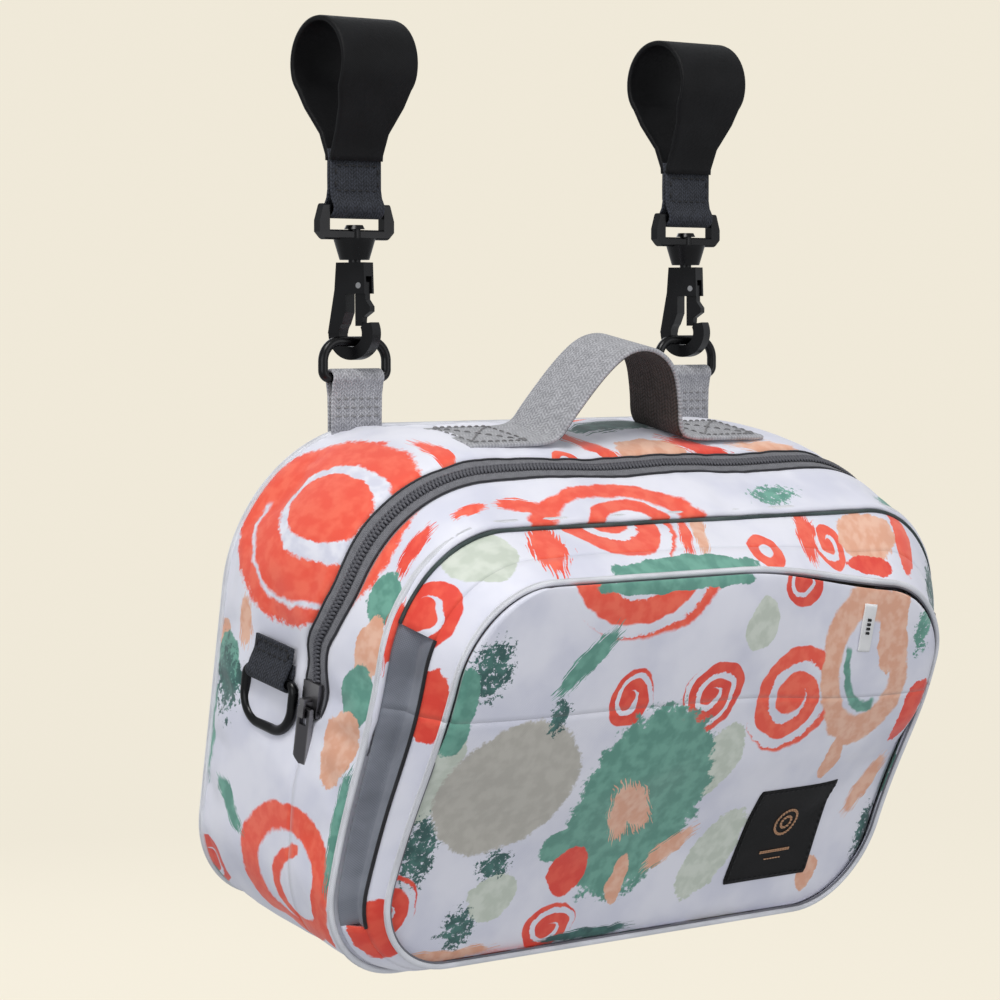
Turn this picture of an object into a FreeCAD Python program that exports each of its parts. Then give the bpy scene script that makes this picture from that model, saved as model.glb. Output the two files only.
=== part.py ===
"""Stroller diaper bag: a padded, zipped box of printed fabric hung from two webbing loops.

Row frame, in millimetres: the origin is on the axis of the stroller's handlebar, midway between
the two loops. +X runs along the bar, to the right of someone who faces the bag's front, +Y points
from the front face to the back and +Z is up. The bag itself is drawn in its own frame (x right,
y back, z up, with z = 0 at its top and y = 0 on its back) and leans back by `tilt` about the seam
at its back top edge.
"""
import FreeCAD, Part
import os
import re
import Sketcher

DIMS = [
    ("strap_spacing", 180, "between the centres of the two hanging loops"),
    ("bar_radius", 16, "handlebar that the loops wrap"),
    ("cuff_wall", 2.5, "thickness of a loop around the bar"),
    ("cuff_width", 37, "width of a loop on the bar"),
    ("web_width", 25, "webbing width everywhere"),
    ("web_neck", 3.4, "two layers of webbing sewn together"),
    ("ring_drop", 57.5, "bar axis down to the swivel ring's upper bar"),
    ("ring_bar", 3.5, "height of the swivel ring's bars"),
    ("ring_depth", 4, "thickness of the swivel ring"),
    ("fold_bore", 2.75, "inside radius of the webbing folded over a ring"),
    ("fold_skin", 1.3, "thickness of one folded layer of webbing"),
    ("stud_radius", 2.5, "swivel stud"),
    ("stud_play", 0.05, "radial clearance of the stud and of the gate pins"),
    ("hook_turn", 20, "angle at which the hooks hang, about the vertical"),
    ("hook_thick", 7, "thickness of the hook's body"),
    ("gate_thick", 3.6, "thickness of the hook's gate"),
    ("gate_pin_radius", 1.2, "pin that the gate turns on"),
    ("gate_pin_ahead", 4, "gate pin, ahead of the stud's axis"),
    ("gate_pin_drop", 88.2, "bar axis down to the gate pin"),
    ("bow_drop", 107.4, "bar axis down to the centre of the hook's bow"),
    ("bow_outer", 10.6, "outside radius of the bow"),
    ("bow_inner", 5.4, "inside radius of the bow"),
    ("dring_drop", 125, "bar axis down to the bar of the D-ring"),
    ("dring_rod", 2, "radius of the D-ring's rod"),
    ("dring_rise", 14.5, "between the centre lines of the D-ring's two bars"),
    ("dring_half", 15.7, "half width of the D-ring, on its centre line"),
    ("rod_play", 0.3, "clearance between a D-ring's rod and the webbing folded round it"),
    ("tab_height", 20, "D-ring bar down to the bag's top edge"),
    ("tilt", 10.5, "backward lean of the bag, degrees"),
    ("half_width", 145, "half of the bag's width"),
    ("depth", 100, "back to front seam"),
    ("height", 193, "top to bottom at the back"),
    ("front_low", 196, "top down to the lowest line of the front"),
    ("front_drop", 15, "how much lower the top of the front seam is"),
    ("shoulder", 50, "depth at which the top starts to slope down"),
    ("back_corner", 62, "upper corner radius at the back"),
    ("front_corner", 48, "upper corner radius at the front seam"),
    ("base_corner", 37, "lower corner radius"),
    ("wall", 3, "padded fabric wall"),
    ("zip_depth", 65, "back to the line of the zipper"),
    ("tape_half", 7, "half of the width of the closed zipper"),
    ("zip_gap", 0.8, "half of the space between the two rows of teeth"),
    ("zip_end", 97, "top down to the lower ends of the zipper"),
    ("lid_level", 83, "top down to the line where the front folds"),
    ("seam_gap", 0.3, "half of the space along the folding line"),
    ("pocket_reach", 133.4, "back to the pocket panel's plane, at the level of the top"),
    ("panel_lean", 6.5, "lean of the pocket panel, degrees"),
    ("panel_half", 131, "half width of the pocket panel"),
    ("panel_top", 30, "top down to the upper edge of the pocket panel"),
    ("panel_low", 192, "top down to the lower edge of the pocket panel"),
    ("panel_corner", 37, "corner radius of the pocket panel"),
    ("pocket_wall", 2, "fabric of the pocket"),
    ("band_level", 50, "top down to where the printed pocket band ends"),
    ("piping", 1.3, "how far the piping stands out of its seam"),
    ("piping_width", 2.4, "width of the piping"),
    ("lining_gap", 0.2, "space between the wall and the lining"),
    ("lining_skin", 1, "thickness of the lining"),
    ("handle_depth", 42, "back to the middle of the carry handle"),
    ("handle_half", 34, "half of the distance between the handle's sewn ends"),
    ("handle_top", 46, "height of the carry handle's arch"),
    ("handle_skin", 2, "thickness of the handle's webbing"),
    ("handle_start", 9, "height at which the free arch begins"),
    ("label_right", 72, "label patch, right of the middle"),
    ("label_drop", 153, "top down to the middle of the label patch"),
    ("side_ring_depth", 41, "back to the middle of a side D-ring"),
    ("side_ring_drop", 88, "top down to the bar of a side D-ring"),
    ("side_ring_out", 3.8, "side wall out to the bar of a side D-ring"),
    ("slider_drop", 90.5, "top down to the middle of the zipper slider"),
    ("pull_drop", 94.5, "top down to the pivot of the zipper pull"),
    ("pull_length", 29, "length of the zipper pull"),
    ("pull_half", 4, "half of the width of the zipper pull"),
]

doc = FreeCAD.newDocument("DiaperBag")
sheet = doc.addObject("Spreadsheet::Sheet", "Dims")
for line, (alias, value, meaning) in enumerate(DIMS, 1):
    sheet.set(f"A{line}", alias)
    sheet.set(f"B{line}", str(value))
    sheet.set(f"C{line}", meaning)
    sheet.setAlias(f"B{line}", alias)
doc.recompute()

ALIASES = {alias for alias, _, _ in DIMS}
PIECES = []
RIGHT = 1
LEFT = -1
SIDES = {"left": LEFT, "right": RIGHT}
AXIS_X = FreeCAD.Vector(1, 0, 0)
AXIS_Y = FreeCAD.Vector(0, 1, 0)
AXIS_Z = FreeCAD.Vector(0, 0, 1)
FAR = "300"


# ---- helpers -----------------------------------------------------------------------------------

def cell(expression):
    """The expression with every dimension's name pointing at its cell in the sheet."""
    return re.sub(r"[a-z_]+", lambda m: "Dims." + m[0] if m[0] in ALIASES else m[0], str(expression))


def number(expression):
    """The expression's present value."""
    return float(sheet.evalExpression(str(expression)))


def bind(item, **expressions):
    """Bind properties to the sheet; a double underscore stands for the dot of a sub-property."""
    for name, expression in expressions.items():
        item.setExpression(name.replace("__", "."), cell(expression))


def kept(item, name):
    """Register an object as a sub-part that stays in the row's frame."""
    item.Label = name
    PIECES.append(item)
    return item


def on_bag(item, name):
    """Register an object drawn in the bag's frame, and lean it back with the bag."""
    item.Placement = FreeCAD.Placement(FreeCAD.Vector(0, 0, 0), FreeCAD.Rotation(AXIS_X, 10))
    bind(item, Placement__Base__z="-dring_drop - tab_height", Placement__Rotation__Angle="tilt")
    return kept(item, name)


def box(low, high, name="Block"):
    """A Part::Box between two corners given as expressions."""
    block = doc.addObject("Part::Box", name)
    block.Placement = FreeCAD.Placement()
    for axis, length, start, stop in zip("xyz", ("Length", "Width", "Height"), low, high):
        block.setExpression(f"Placement.Base.{axis}", cell(start))
        block.setExpression(length, cell(f"({stop}) - ({start})"))
    return block


def slab(front=FAR, back=f"-{FAR}", low=f"-{FAR}", high=FAR, left=f"-{FAR}", right=FAR):
    """A box of the bag's frame: front and back are depths behind which and ahead of which it lies."""
    return box((left, f"-({front})", low), (right, f"-({back})", high), "Zone")


def held(item, name="Holder"):
    """A compound round one object, which can be placed without moving the object in its own frame."""
    holder = doc.addObject("Part::Compound", name)
    holder.Links = [item]
    return holder


def boolean(kind, base, tool, name="Shape"):
    result = doc.addObject(f"Part::{kind}", name)
    result.Base = base
    result.Tool = tool
    return result


def common(base, tool, name="Region"):
    return boolean("Common", base, tool, name)


def cut(base, tool, name="Remainder"):
    return boolean("Cut", base, tool, name)


def fuse(*items, name="Joined"):
    result = doc.addObject("Part::MultiFuse", name)
    result.Shapes = list(items)
    result.Refine = True
    return result


def new_sketch(body, plane, offset="0", lean=None, name="Sketch"):
    """A sketch on one of the body's origin planes, moved along its normal and leaned about x."""
    sketch = body.newObject("Sketcher::SketchObject", name)
    support = [item for item in body.Origin.OriginFeatures if item.Role == plane][0]
    sketch.AttachmentSupport = [(support, "")]
    sketch.MapMode = "FlatFace"
    turn = FreeCAD.Rotation(AXIS_X, 0 if lean is None else number(lean))
    sketch.AttachmentOffset = FreeCAD.Placement(FreeCAD.Vector(0, 0, number(offset)), turn)
    bind(sketch, AttachmentOffset__Base__z=offset)
    if lean is not None:
        bind(sketch, AttachmentOffset__Rotation__Angle=lean)
    return sketch


def dimension(sketch, kind, targets, expression):
    index = sketch.addConstraint(Sketcher.Constraint(kind, *targets, number(expression)))
    sketch.setExpression(f"Constraints[{index}]", cell(expression))


def polygon(sketch, corners):
    """A closed polygon whose corners are pairs of expressions."""
    points = [FreeCAD.Vector(number(x), number(y), 0) for x, y in corners]
    first = sketch.GeometryCount
    count = len(points)
    for index in range(count):
        sketch.addGeometry(Part.LineSegment(points[index], points[(index + 1) % count]), False)
    for index in range(count):
        following = first + (index + 1) % count
        sketch.addConstraint(Sketcher.Constraint("Coincident", first + index, 2, following, 1))
    for index, (x, y) in enumerate(corners):
        dimension(sketch, "DistanceX", (-1, 1, first + index, 1), x)
        dimension(sketch, "DistanceY", (-1, 1, first + index, 1), y)


def circle(sketch, x, y, radius):
    centre = FreeCAD.Vector(number(x), number(y), 0)
    index = sketch.addGeometry(Part.Circle(centre, AXIS_Z, number(radius)), False)
    dimension(sketch, "Radius", (index,), radius)
    dimension(sketch, "DistanceX", (-1, 1, index, 3), x)
    dimension(sketch, "DistanceY", (-1, 1, index, 3), y)


def rounded(sketch, half, top, low, top_radius, low_radius):
    """An outline with straight sides at +-half and two sizes of rounded corner."""
    h, t, b = number(half), number(top), number(low)
    rt, rb = number(top_radius), number(low_radius)
    line_ends = [((rt - h, t), (h - rt, t)), ((h, t - rt), (h, b + rb)),
                 ((h - rb, b), (rb - h, b)), ((-h, b + rb), (-h, t - rt))]
    arcs = [((h - rt, t - rt), rt, 0, 90), ((h - rb, b + rb), rb, -90, 0),
            ((rb - h, b + rb), rb, 180, 270), ((rt - h, t - rt), rt, 90, 180)]
    for (start, end), (centre, radius, first, last) in zip(line_ends, arcs):
        sketch.addGeometry(Part.LineSegment(FreeCAD.Vector(*start, 0), FreeCAD.Vector(*end, 0)), False)
        ring = Part.Circle(FreeCAD.Vector(*centre, 0), AXIS_Z, radius)
        angles = [FreeCAD.Units.parseQuantity(f"{turn} deg").getValueAs("rad").Value
                  for turn in (first, last)]
        sketch.addGeometry(Part.ArcOfCircle(ring, *angles), False)
    for side in range(4):
        line, arc = 2 * side, 2 * side + 1
        sketch.addConstraint(Sketcher.Constraint("Tangent", line, 2, arc, 2))
        sketch.addConstraint(Sketcher.Constraint("Tangent", arc, 1, (line + 2) % 8, 1))
    for line in (0, 4):
        sketch.addConstraint(Sketcher.Constraint("Horizontal", line))
    for line in (2, 6):
        sketch.addConstraint(Sketcher.Constraint("Vertical", line))
    sketch.addConstraint(Sketcher.Constraint("Equal", 1, 7))
    sketch.addConstraint(Sketcher.Constraint("Equal", 3, 5))
    dimension(sketch, "Radius", (1,), top_radius)
    dimension(sketch, "Radius", (3,), low_radius)
    dimension(sketch, "DistanceX", (-1, 1, 2, 1), half)
    dimension(sketch, "DistanceX", (6, 1, -1, 1), half)
    dimension(sketch, "DistanceY", (-1, 1, 0, 1), top)
    dimension(sketch, "DistanceY", (4, 1, -1, 1), f"-({low})")


def new_body(name):
    return doc.addObject("PartDesign::Body", name)


def extrude(body, sketch, length, kind="Pad", side="Symmetric", backward=False):
    """Pad or pocket a sketch of the body."""
    feature = body.newObject(f"PartDesign::{kind}", kind)
    feature.Profile = sketch
    feature.SideType = side
    feature.Reversed = backward
    bind(feature, Length=length)
    return feature


def cylinder(radius, length, origin, axis, name="Rod"):
    """A Part::Cylinder from an origin of expressions along a world axis."""
    rod = doc.addObject("Part::Cylinder", name)
    rod.Placement = FreeCAD.Placement(FreeCAD.Vector(), FreeCAD.Rotation(AXIS_Z, axis))
    bind(rod, Radius=radius, Height=length, Placement__Base__x=origin[0],
         Placement__Base__y=origin[1], Placement__Base__z=origin[2])
    return rod


def at_strap(item, side):
    """Move an object drawn on the middle plane to the left or right loop."""
    bind(item, Placement__Base__x=f"{side} * strap_spacing / 2")
    return item


# ---- loops, swivel rings, hooks and D-rings ------------------------------------------------------

def hanging_loop(side_name, side):
    """A webbing cuff round the bar that narrows to 25 mm webbing folded over the swivel ring."""
    body = new_body(f"Loop_{side_name}")
    outer = "bar_radius + cuff_wall"
    ring = new_sketch(body, "YZ_Plane")
    circle(ring, "0", "0", outer)
    extrude(body, ring, "cuff_width")
    wedge = new_sketch(body, "YZ_Plane")
    polygon(wedge, [("-16.2", "-9"), ("-web_neck / 2", "-38"), ("web_neck / 2", "-38"), ("16.2", "-9")])
    extrude(body, wedge, "cuff_width")
    void = new_sketch(body, "YZ_Plane")
    polygon(void, [("-13.7", "-8.3"), ("0", "-31"), ("13.7", "-8.3")])
    extrude(body, void, "cuff_width + 2", "Pocket")
    for end in (LEFT, RIGHT):
        taper = new_sketch(body, "XZ_Plane")
        polygon(taper, [(f"{end} * (cuff_width / 2 + 1)", "-8"), (f"{end} * cuff_width / 2", "-8"),
                        (f"{end} * web_width / 2", "-28"), (f"{end} * web_width / 2", "-40"),
                        (f"{end} * (cuff_width / 2 + 1)", "-40")])
        extrude(body, taper, "4 * bar_radius", "Pocket")
    neck = new_sketch(body, "YZ_Plane")
    fold_outer = "(fold_bore + fold_skin)"
    polygon(neck, [("-web_neck / 2", "-36"), ("-web_neck / 2", "6 - ring_drop"),
                   (f"-{fold_outer}", "-ring_drop"), (fold_outer, "-ring_drop"),
                   ("web_neck / 2", "6 - ring_drop"), ("web_neck / 2", "-36")])
    extrude(body, neck, "web_width")
    fold = new_sketch(body, "YZ_Plane")
    circle(fold, "0", "-ring_drop", fold_outer)
    extrude(body, fold, "web_width")
    ring_hole = new_sketch(body, "YZ_Plane")
    circle(ring_hole, "0", "-ring_drop", "fold_bore")
    extrude(body, ring_hole, "web_width + 2", "Pocket")
    bore = new_sketch(body, "YZ_Plane")
    circle(bore, "0", "0", "bar_radius")
    extrude(body, bore, "cuff_width + 2", "Pocket")
    kept(at_strap(body, side), f"loop_{side_name}")


def loop_fastener(side_name, side):
    """The hook-and-loop patch that closes a cuff, on the back of its webbing."""
    patch = box((f"{side} * strap_spacing / 2 - 11.5", "web_neck / 2", "-50"),
                (f"{side} * strap_spacing / 2 + 11.5", "web_neck / 2 + 1.4", "-38.5"))
    kept(patch, f"loop_fastener_{side_name}")


def swivel_ring(side_name, side):
    """A slotted ring for the webbing with a collar below it that holds the hook's stud."""
    body = new_body(f"SwivelRing_{side_name}")
    frame = new_sketch(body, "XZ_Plane")
    polygon(frame, [("-16.4", "ring_bar / 2 - ring_drop"), ("16.4", "ring_bar / 2 - ring_drop"),
                    ("18.5", "-62.5"), ("18.5", "-67"), ("15.5", "-70"),
                    ("-15.5", "-70"), ("-18.5", "-67"), ("-18.5", "-62.5")])
    extrude(body, frame, "ring_depth")
    window = new_sketch(body, "XZ_Plane")
    polygon(window, [("-13.5", "-ring_drop - ring_bar / 2"), ("13.5", "-ring_drop - ring_bar / 2"),
                     ("13.5", "-66"), ("-13.5", "-66")])
    extrude(body, window, "ring_depth + 2", "Pocket")
    doc.recompute()
    soften(body, "0.9", lambda edge: abs(edge.BoundBox.ZLength) < 0.01 and edge.BoundBox.XLength > 20)
    collar = doc.addObject("Part::Cone", "Collar")
    bind(collar, Radius1="6", Radius2="8.5", Height="8.5", Placement__Base__z="-78")
    bore = cylinder("stud_radius + stud_play", "20", ("0", "0", "-80"), AXIS_Z, "StudBore")
    ring = cut(fuse(body, collar), bore, f"Ring_{side_name}")
    kept(at_strap(ring, side), f"swivel_ring_{side_name}")


def soften(body, radius, wanted):
    """Fillet those edges of the body's tip that the test picks."""
    tip = body.Tip
    names = [f"Edge{index}" for index, edge in enumerate(tip.Shape.Edges, 1) if wanted(edge)]
    fillet = body.newObject("PartDesign::Fillet", "Fillet")
    fillet.Base = (tip, names)
    bind(fillet, Radius=radius)
    doc.recompute()


def rod_frame(name, half, top, low, top_radius, low_radius, rod):
    """A closed rod bent to a rounded outline in the XZ plane, such as a D-ring."""
    body = new_body(name)
    path = new_sketch(body, "XZ_Plane", name="Path")
    rounded(path, half, top, low, top_radius, low_radius)
    section = new_sketch(body, "YZ_Plane", name="Section")
    circle(section, "0", low, rod)
    pipe = body.newObject("PartDesign::AdditivePipe", "Bend")
    pipe.Profile = section
    pipe.Spine = (path, [f"Edge{index}" for index in range(1, 9)])
    return body


def back_dring(side_name, side):
    """The D-ring that the hook carries; its lower bar lies in the fold of the bag's tab."""
    ring = rod_frame(f"DRing_{side_name}", "dring_half", "dring_rise - dring_drop", "-dring_drop",
                     "8", "3", "dring_rod")
    kept(at_strap(ring, side), f"back_dring_{side_name}")


def turned(item, side):
    """Hang a hook piece at its strap, turned about the vertical."""
    item.Placement = FreeCAD.Placement(FreeCAD.Vector(), FreeCAD.Rotation(AXIS_Z, 10))
    bind(item, Placement__Rotation__Angle="hook_turn")
    return at_strap(item, side)


def hook(side_name, side):
    """The swivel hook: stud, shoulder, spine and an open bow, slotted for its gate."""
    body = new_body(f"Hook_{side_name}")
    spine = new_sketch(body, "YZ_Plane")
    polygon(spine, [("-6.6", "-79"), ("6.6", "-79"), ("7.4", "-90"), ("bow_outer", "-bow_drop"),
                    ("bow_inner", "-bow_drop"), ("2.2", "-99"), ("2.2", "-91.5"), ("-7", "-91.5")])
    extrude(body, spine, "hook_thick")
    bow = new_sketch(body, "YZ_Plane")
    circle(bow, "0", "-bow_drop", "bow_outer")
    extrude(body, bow, "hook_thick - 0.8")
    eye = new_sketch(body, "YZ_Plane")
    circle(eye, "0", "-bow_drop", "bow_inner")
    extrude(body, eye, "hook_thick + 2", "Pocket")
    mouth = new_sketch(body, "YZ_Plane")
    polygon(mouth, [("-20", "-91.5"), ("2.2", "-91.5"), ("2.2", "-99"), ("bow_inner", "-bow_drop"),
                    ("-3", "-bow_drop"), ("-6", "4 - bow_drop"), ("-20", "6 - bow_drop")])
    extrude(body, mouth, "hook_thick + 2", "Pocket")
    slot = new_sketch(body, "YZ_Plane")
    polygon(slot, [("-20", "-84.5"), ("-0.9", "-84.5"), ("-0.9", "-95"), ("-20", "-95")])
    extrude(body, slot, "gate_thick + 0.6", "Pocket")
    stud = cylinder("stud_radius", "15.8", ("0", "0", "-80"), AXIS_Z, "Stud")
    head = doc.addObject("Part::Cone", "StudHead")
    bind(head, Radius1="4.2", Radius2="3.4", Height="1.6", Placement__Base__z="-65.7")
    pin_bore = cylinder("gate_pin_radius", "20", ("-10", "-gate_pin_ahead", "-gate_pin_drop"), AXIS_X,
                        "PinBore")
    solid = cut(fuse(body, stud, head), pin_bore, f"HookSolid_{side_name}")
    kept(turned(solid, side), f"hook_{side_name}")


def gate_pin(side_name, side):
    """The pin that the hook's gate turns on."""
    start = ("-hook_thick / 2", "-gate_pin_ahead", "-gate_pin_drop")
    pin = cylinder("gate_pin_radius", "hook_thick", start, AXIS_X, f"Pin_{side_name}")
    kept(turned(held(pin), side), f"gate_pin_{side_name}")


def gate(side_name, side):
    """The sprung gate that closes the hook, with a ridge for the thumb."""
    body = new_body(f"Gate_{side_name}")
    outline = new_sketch(body, "YZ_Plane")
    polygon(outline, [("-6.2", "-87"), ("-5.2", "-85.6"), ("-2.6", "-85.6"), ("-1.5", "-87"),
                      ("-1.4", "-92"), ("-1.5", "3 - bow_drop"), ("-4.6", "3 - bow_drop"),
                      ("-4.9", "-101"), ("-8.4", "-98.6"), ("-8.4", "-96.6"), ("-6.3", "-93.8")])
    extrude(body, outline, "gate_thick")
    hole = new_sketch(body, "YZ_Plane")
    circle(hole, "-gate_pin_ahead", "-gate_pin_drop", "gate_pin_radius + stud_play")
    extrude(body, hole, "gate_thick + 2", "Pocket")
    kept(turned(body, side), f"gate_{side_name}")


def tab(side_name, side):
    """A folded webbing tab, sewn into the bag's back top seam, that holds the D-ring's bar."""
    body = new_body(f"Tab_{side_name}")
    bore = "(dring_rod + rod_play)"
    fold_outer = f"({bore} + fold_skin)"
    strip = new_sketch(body, "YZ_Plane")
    polygon(strip, [("-web_neck / 2", "0.4 - dring_drop - tab_height"),
                    ("web_neck / 2", "0.4 - dring_drop - tab_height"),
                    ("web_neck / 2", "-dring_drop - 6"), (fold_outer, "-dring_drop"),
                    (f"-{fold_outer}", "-dring_drop"), ("-web_neck / 2", "-dring_drop - 6")])
    extrude(body, strip, "web_width")
    fold = new_sketch(body, "YZ_Plane")
    circle(fold, "0", "-dring_drop", fold_outer)
    extrude(body, fold, "web_width")
    hole = new_sketch(body, "YZ_Plane")
    circle(hole, "0", "-dring_drop", bore)
    extrude(body, hole, "web_width + 2", "Pocket")
    kept(at_strap(body, side), f"tab_{side_name}")


# ---- the shell of the bag ------------------------------------------------------------------------

def hull(inset):
    """The bag's whole volume, moved inwards by an inset: straight to the shoulder, then sloping."""
    body = new_body("Hull")
    stations = [("0", "0", "height", "back_corner"), ("shoulder", "0", "height", "back_corner"),
                ("depth", "-front_drop", "front_low", "front_corner")]
    sections = []
    for offset, top, low, corner in stations:
        sketch = new_sketch(body, "XZ_Plane", offset)
        rounded(sketch, f"half_width - {inset}", f"{top} - {inset}", f"{inset} - {low}",
                f"{corner} - {inset}", f"base_corner - {inset}")
        sections.append(sketch)
    loft = body.newObject("PartDesign::AdditiveLoft", "Loft")
    loft.Profile = sections[0]
    loft.Sections = sections[1:]
    loft.Ruled = True
    return body


def ring(outer_inset, inner_inset):
    return cut(hull(outer_inset), hull(inner_inset), "Ring")


def pocket_hull(inset):
    """The pocket's volume between the front seam and the back of its leaning panel."""
    body = new_body("PocketHull")
    rear = new_sketch(body, "XZ_Plane", "depth + 2 * seam_gap")
    rounded(rear, f"half_width - 1 - {inset}", f"-front_drop - 1 - {inset}", f"{inset} + 1 - front_low",
            f"front_corner - {inset}", f"base_corner - {inset}")
    front = new_sketch(body, "XZ_Plane", "pocket_reach - pocket_wall / cos(panel_lean) - 0.01", "panel_lean")
    rounded(front, f"panel_half - {inset}", f"-panel_top - {inset}", f"{inset} - panel_low",
            f"panel_corner - {inset}", f"panel_corner - {inset}")
    loft = body.newObject("PartDesign::AdditiveLoft", "Loft")
    loft.Profile = rear
    loft.Sections = [front]
    loft.Ruled = True
    return body


def panel_plate(grow, thickness, offset="pocket_reach"):
    """A plate on the leaning plane of the pocket, grown beyond the panel's outline."""
    body = new_body("PanelPlate")
    sketch = new_sketch(body, "XZ_Plane", offset, "panel_lean")
    rounded(sketch, f"panel_half + {grow}", f"-panel_top + {grow}", f"-panel_low - {grow}",
            f"panel_corner + {grow}", f"panel_corner + {grow}")
    extrude(body, sketch, thickness, side="One side", backward=True)
    return body


ABOVE_FOLD = "seam_gap - lid_level"
BELOW_FOLD = "-lid_level - seam_gap"


def shell_panels():
    """Back, gussets and front of the main compartment, as separate padded walls."""
    outer = hull("0")
    walls = ring("0", "wall")
    on_bag(common(outer, slab(front="wall", back="-1")), "back_panel")
    on_bag(common(walls, slab(front="zip_depth - tape_half", back="wall", low=ABOVE_FOLD)), "rear_gusset")
    notch = slab(front="zip_depth + tape_half", back="zip_depth - tape_half", low="-zip_end", high="0")
    lower = common(walls, slab(front="depth - wall", back="wall", high=BELOW_FOLD))
    on_bag(cut(lower, notch), "bottom_gusset")
    on_bag(common(walls, slab(front="depth - wall", back="zip_depth + tape_half", low=ABOVE_FOLD)),
           "front_gusset")
    front_wall = dict(front="depth + 1", back="depth - wall")
    on_bag(common(outer, slab(low=ABOVE_FOLD, **front_wall)), "front_panel_upper")
    on_bag(common(outer, slab(high=BELOW_FOLD, **front_wall)), "front_panel_lower")
    proud = ring("(-piping)", "0")
    on_bag(common(proud, slab(front="piping_width", back="-1")), "back_piping")
    seam = dict(front="depth + 1", back="depth - piping_width")
    on_bag(common(proud, slab(low=ABOVE_FOLD, **seam)), "front_piping_upper")
    on_bag(common(proud, slab(high=BELOW_FOLD, **seam)), "front_piping_lower")


def zipper():
    """Two tapes with their rows of teeth round the top, and the closed ends below the fold."""
    tape = ring("0.9", "2.1")
    teeth = ring("0.4", "2.6")
    rows = "zip_depth - zip_gap", "zip_depth + zip_gap"
    on_bag(common(tape, slab(front="zip_depth - 2.4", back="zip_depth - tape_half", low=ABOVE_FOLD)),
           "zipper_tape_rear")
    on_bag(common(teeth, slab(front=rows[0], back="zip_depth - 2.4", low=ABOVE_FOLD)),
           "zipper_teeth_rear")
    on_bag(common(tape, slab(front="zip_depth + tape_half", back="zip_depth + 2.4", low=ABOVE_FOLD)),
           "zipper_tape_front")
    on_bag(common(teeth, slab(front="zip_depth + 2.4", back=rows[1], low=ABOVE_FOLD)),
           "zipper_teeth_front")
    closed = dict(front="zip_depth + tape_half", back="zip_depth - tape_half", low="-zip_end",
                  high=BELOW_FOLD)
    between = slab(front=rows[1], back=rows[0], low="2 - zip_end", high="0")
    ends = cut(teeth, between, "SplitTeeth")
    on_bag(common(ends, slab(right="0", **closed)), "zipper_end_left")
    on_bag(common(ends, slab(left="0", **closed)), "zipper_end_right")


def zipper_slider():
    """The slider on the left end of the zipper: two plates round the teeth, a divider and a bail."""
    wall = "-half_width"
    low, high = "-slider_drop - 6.5", "6.5 - slider_drop"
    cap = box((f"{wall} - 2.1", "-zip_depth - 5", low), (f"{wall} + 0.1", "5 - zip_depth", high))
    shoe = box((f"{wall} + 2.9", "-zip_depth - 5", low), (f"{wall} + 4.7", "5 - zip_depth", high))
    divider = box((wall, "-zip_depth - 0.5", f"{high} - 4"), (f"{wall} + 3", "0.5 - zip_depth", high))
    bridge = box((f"{wall} - 5.8", "-zip_depth - 1.5", "-pull_drop - 3.1"),
                 (f"{wall} - 2", "1.5 - zip_depth", "4.3 - pull_drop"))
    gap = box((f"{wall} - 4.7", "-zip_depth - 2", "-pull_drop - 2.1"),
              (f"{wall} - 2.1", "2 - zip_depth", "3.1 - pull_drop"))
    on_bag(fuse(cap, shoe, divider, cut(bridge, gap)), "zipper_slider")


def zipper_pull():
    """The flat pull that hangs from the slider's bail by a cross bar."""
    axis = "-half_width - 3.4"
    plate = box((f"{axis} - 0.9", "-zip_depth - pull_half", "-pull_drop - pull_length"),
                (f"{axis} + 0.9", "pull_half - zip_depth", "-pull_drop"))
    window = box((f"{axis} - 2", "-zip_depth - 2.1", "-pull_drop - 6.2"),
                 (f"{axis} + 2", "2.1 - zip_depth", "1 - pull_drop"))
    bar = cylinder("0.9", "2 * pull_half", (axis, "-zip_depth - pull_half", "-pull_drop"), AXIS_Y, "CrossBar")
    on_bag(fuse(cut(plate, window), bar), "zipper_pull")


# ---- front pocket --------------------------------------------------------------------------------

def front_pocket():
    """A printed band over the top, grey bellows down the sides, and a leaning front panel."""
    skin = cut(pocket_hull("0"), pocket_hull("pocket_wall"), "PocketSkin")
    upper = dict(low=ABOVE_FOLD, high="-band_level")
    floor = "base_corner - front_low"
    on_bag(common(skin, slab(low="-band_level")), "pocket_band")
    for side_name, zone in (("left", dict(right="0")), ("right", dict(left="0"))):
        on_bag(common(skin, slab(**upper, **zone)), f"pocket_side_upper_{side_name}")
        on_bag(common(skin, slab(low=floor, high=BELOW_FOLD, **zone)), f"pocket_side_lower_{side_name}")
    on_bag(common(skin, slab(high=floor)), "pocket_bottom")
    panel = panel_plate("0", "pocket_wall")
    on_bag(common(panel, slab(low=ABOVE_FOLD)), "pocket_panel_upper")
    on_bag(common(panel, slab(high=BELOW_FOLD)), "pocket_panel_lower")
    welt = cut(cut(panel_plate("piping", "piping_width"), panel_plate("0", "20")), pocket_hull("0"))
    on_bag(common(welt, slab(low=ABOVE_FOLD)), "pocket_piping_upper")
    on_bag(common(welt, slab(high=BELOW_FOLD)), "pocket_piping_lower")


def patch_on_panel(name, right, drop, half_wide, half_tall, thickness):
    """A flat patch sewn on the outside of the pocket panel."""
    body = new_body(name)
    sketch = new_sketch(body, "XZ_Plane", "pocket_reach", "panel_lean")
    sides = (f"{right} - {half_wide}", f"{right} + {half_wide}")
    levels = (f"-{drop} - {half_tall}", f"-{drop} + {half_tall}")
    polygon(sketch, [(sides[0], levels[0]), (sides[1], levels[0]),
                     (sides[1], levels[1]), (sides[0], levels[1])])
    extrude(body, sketch, thickness, side="One side")
    on_bag(body, name)


# ---- inside --------------------------------------------------------------------------------------

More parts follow.
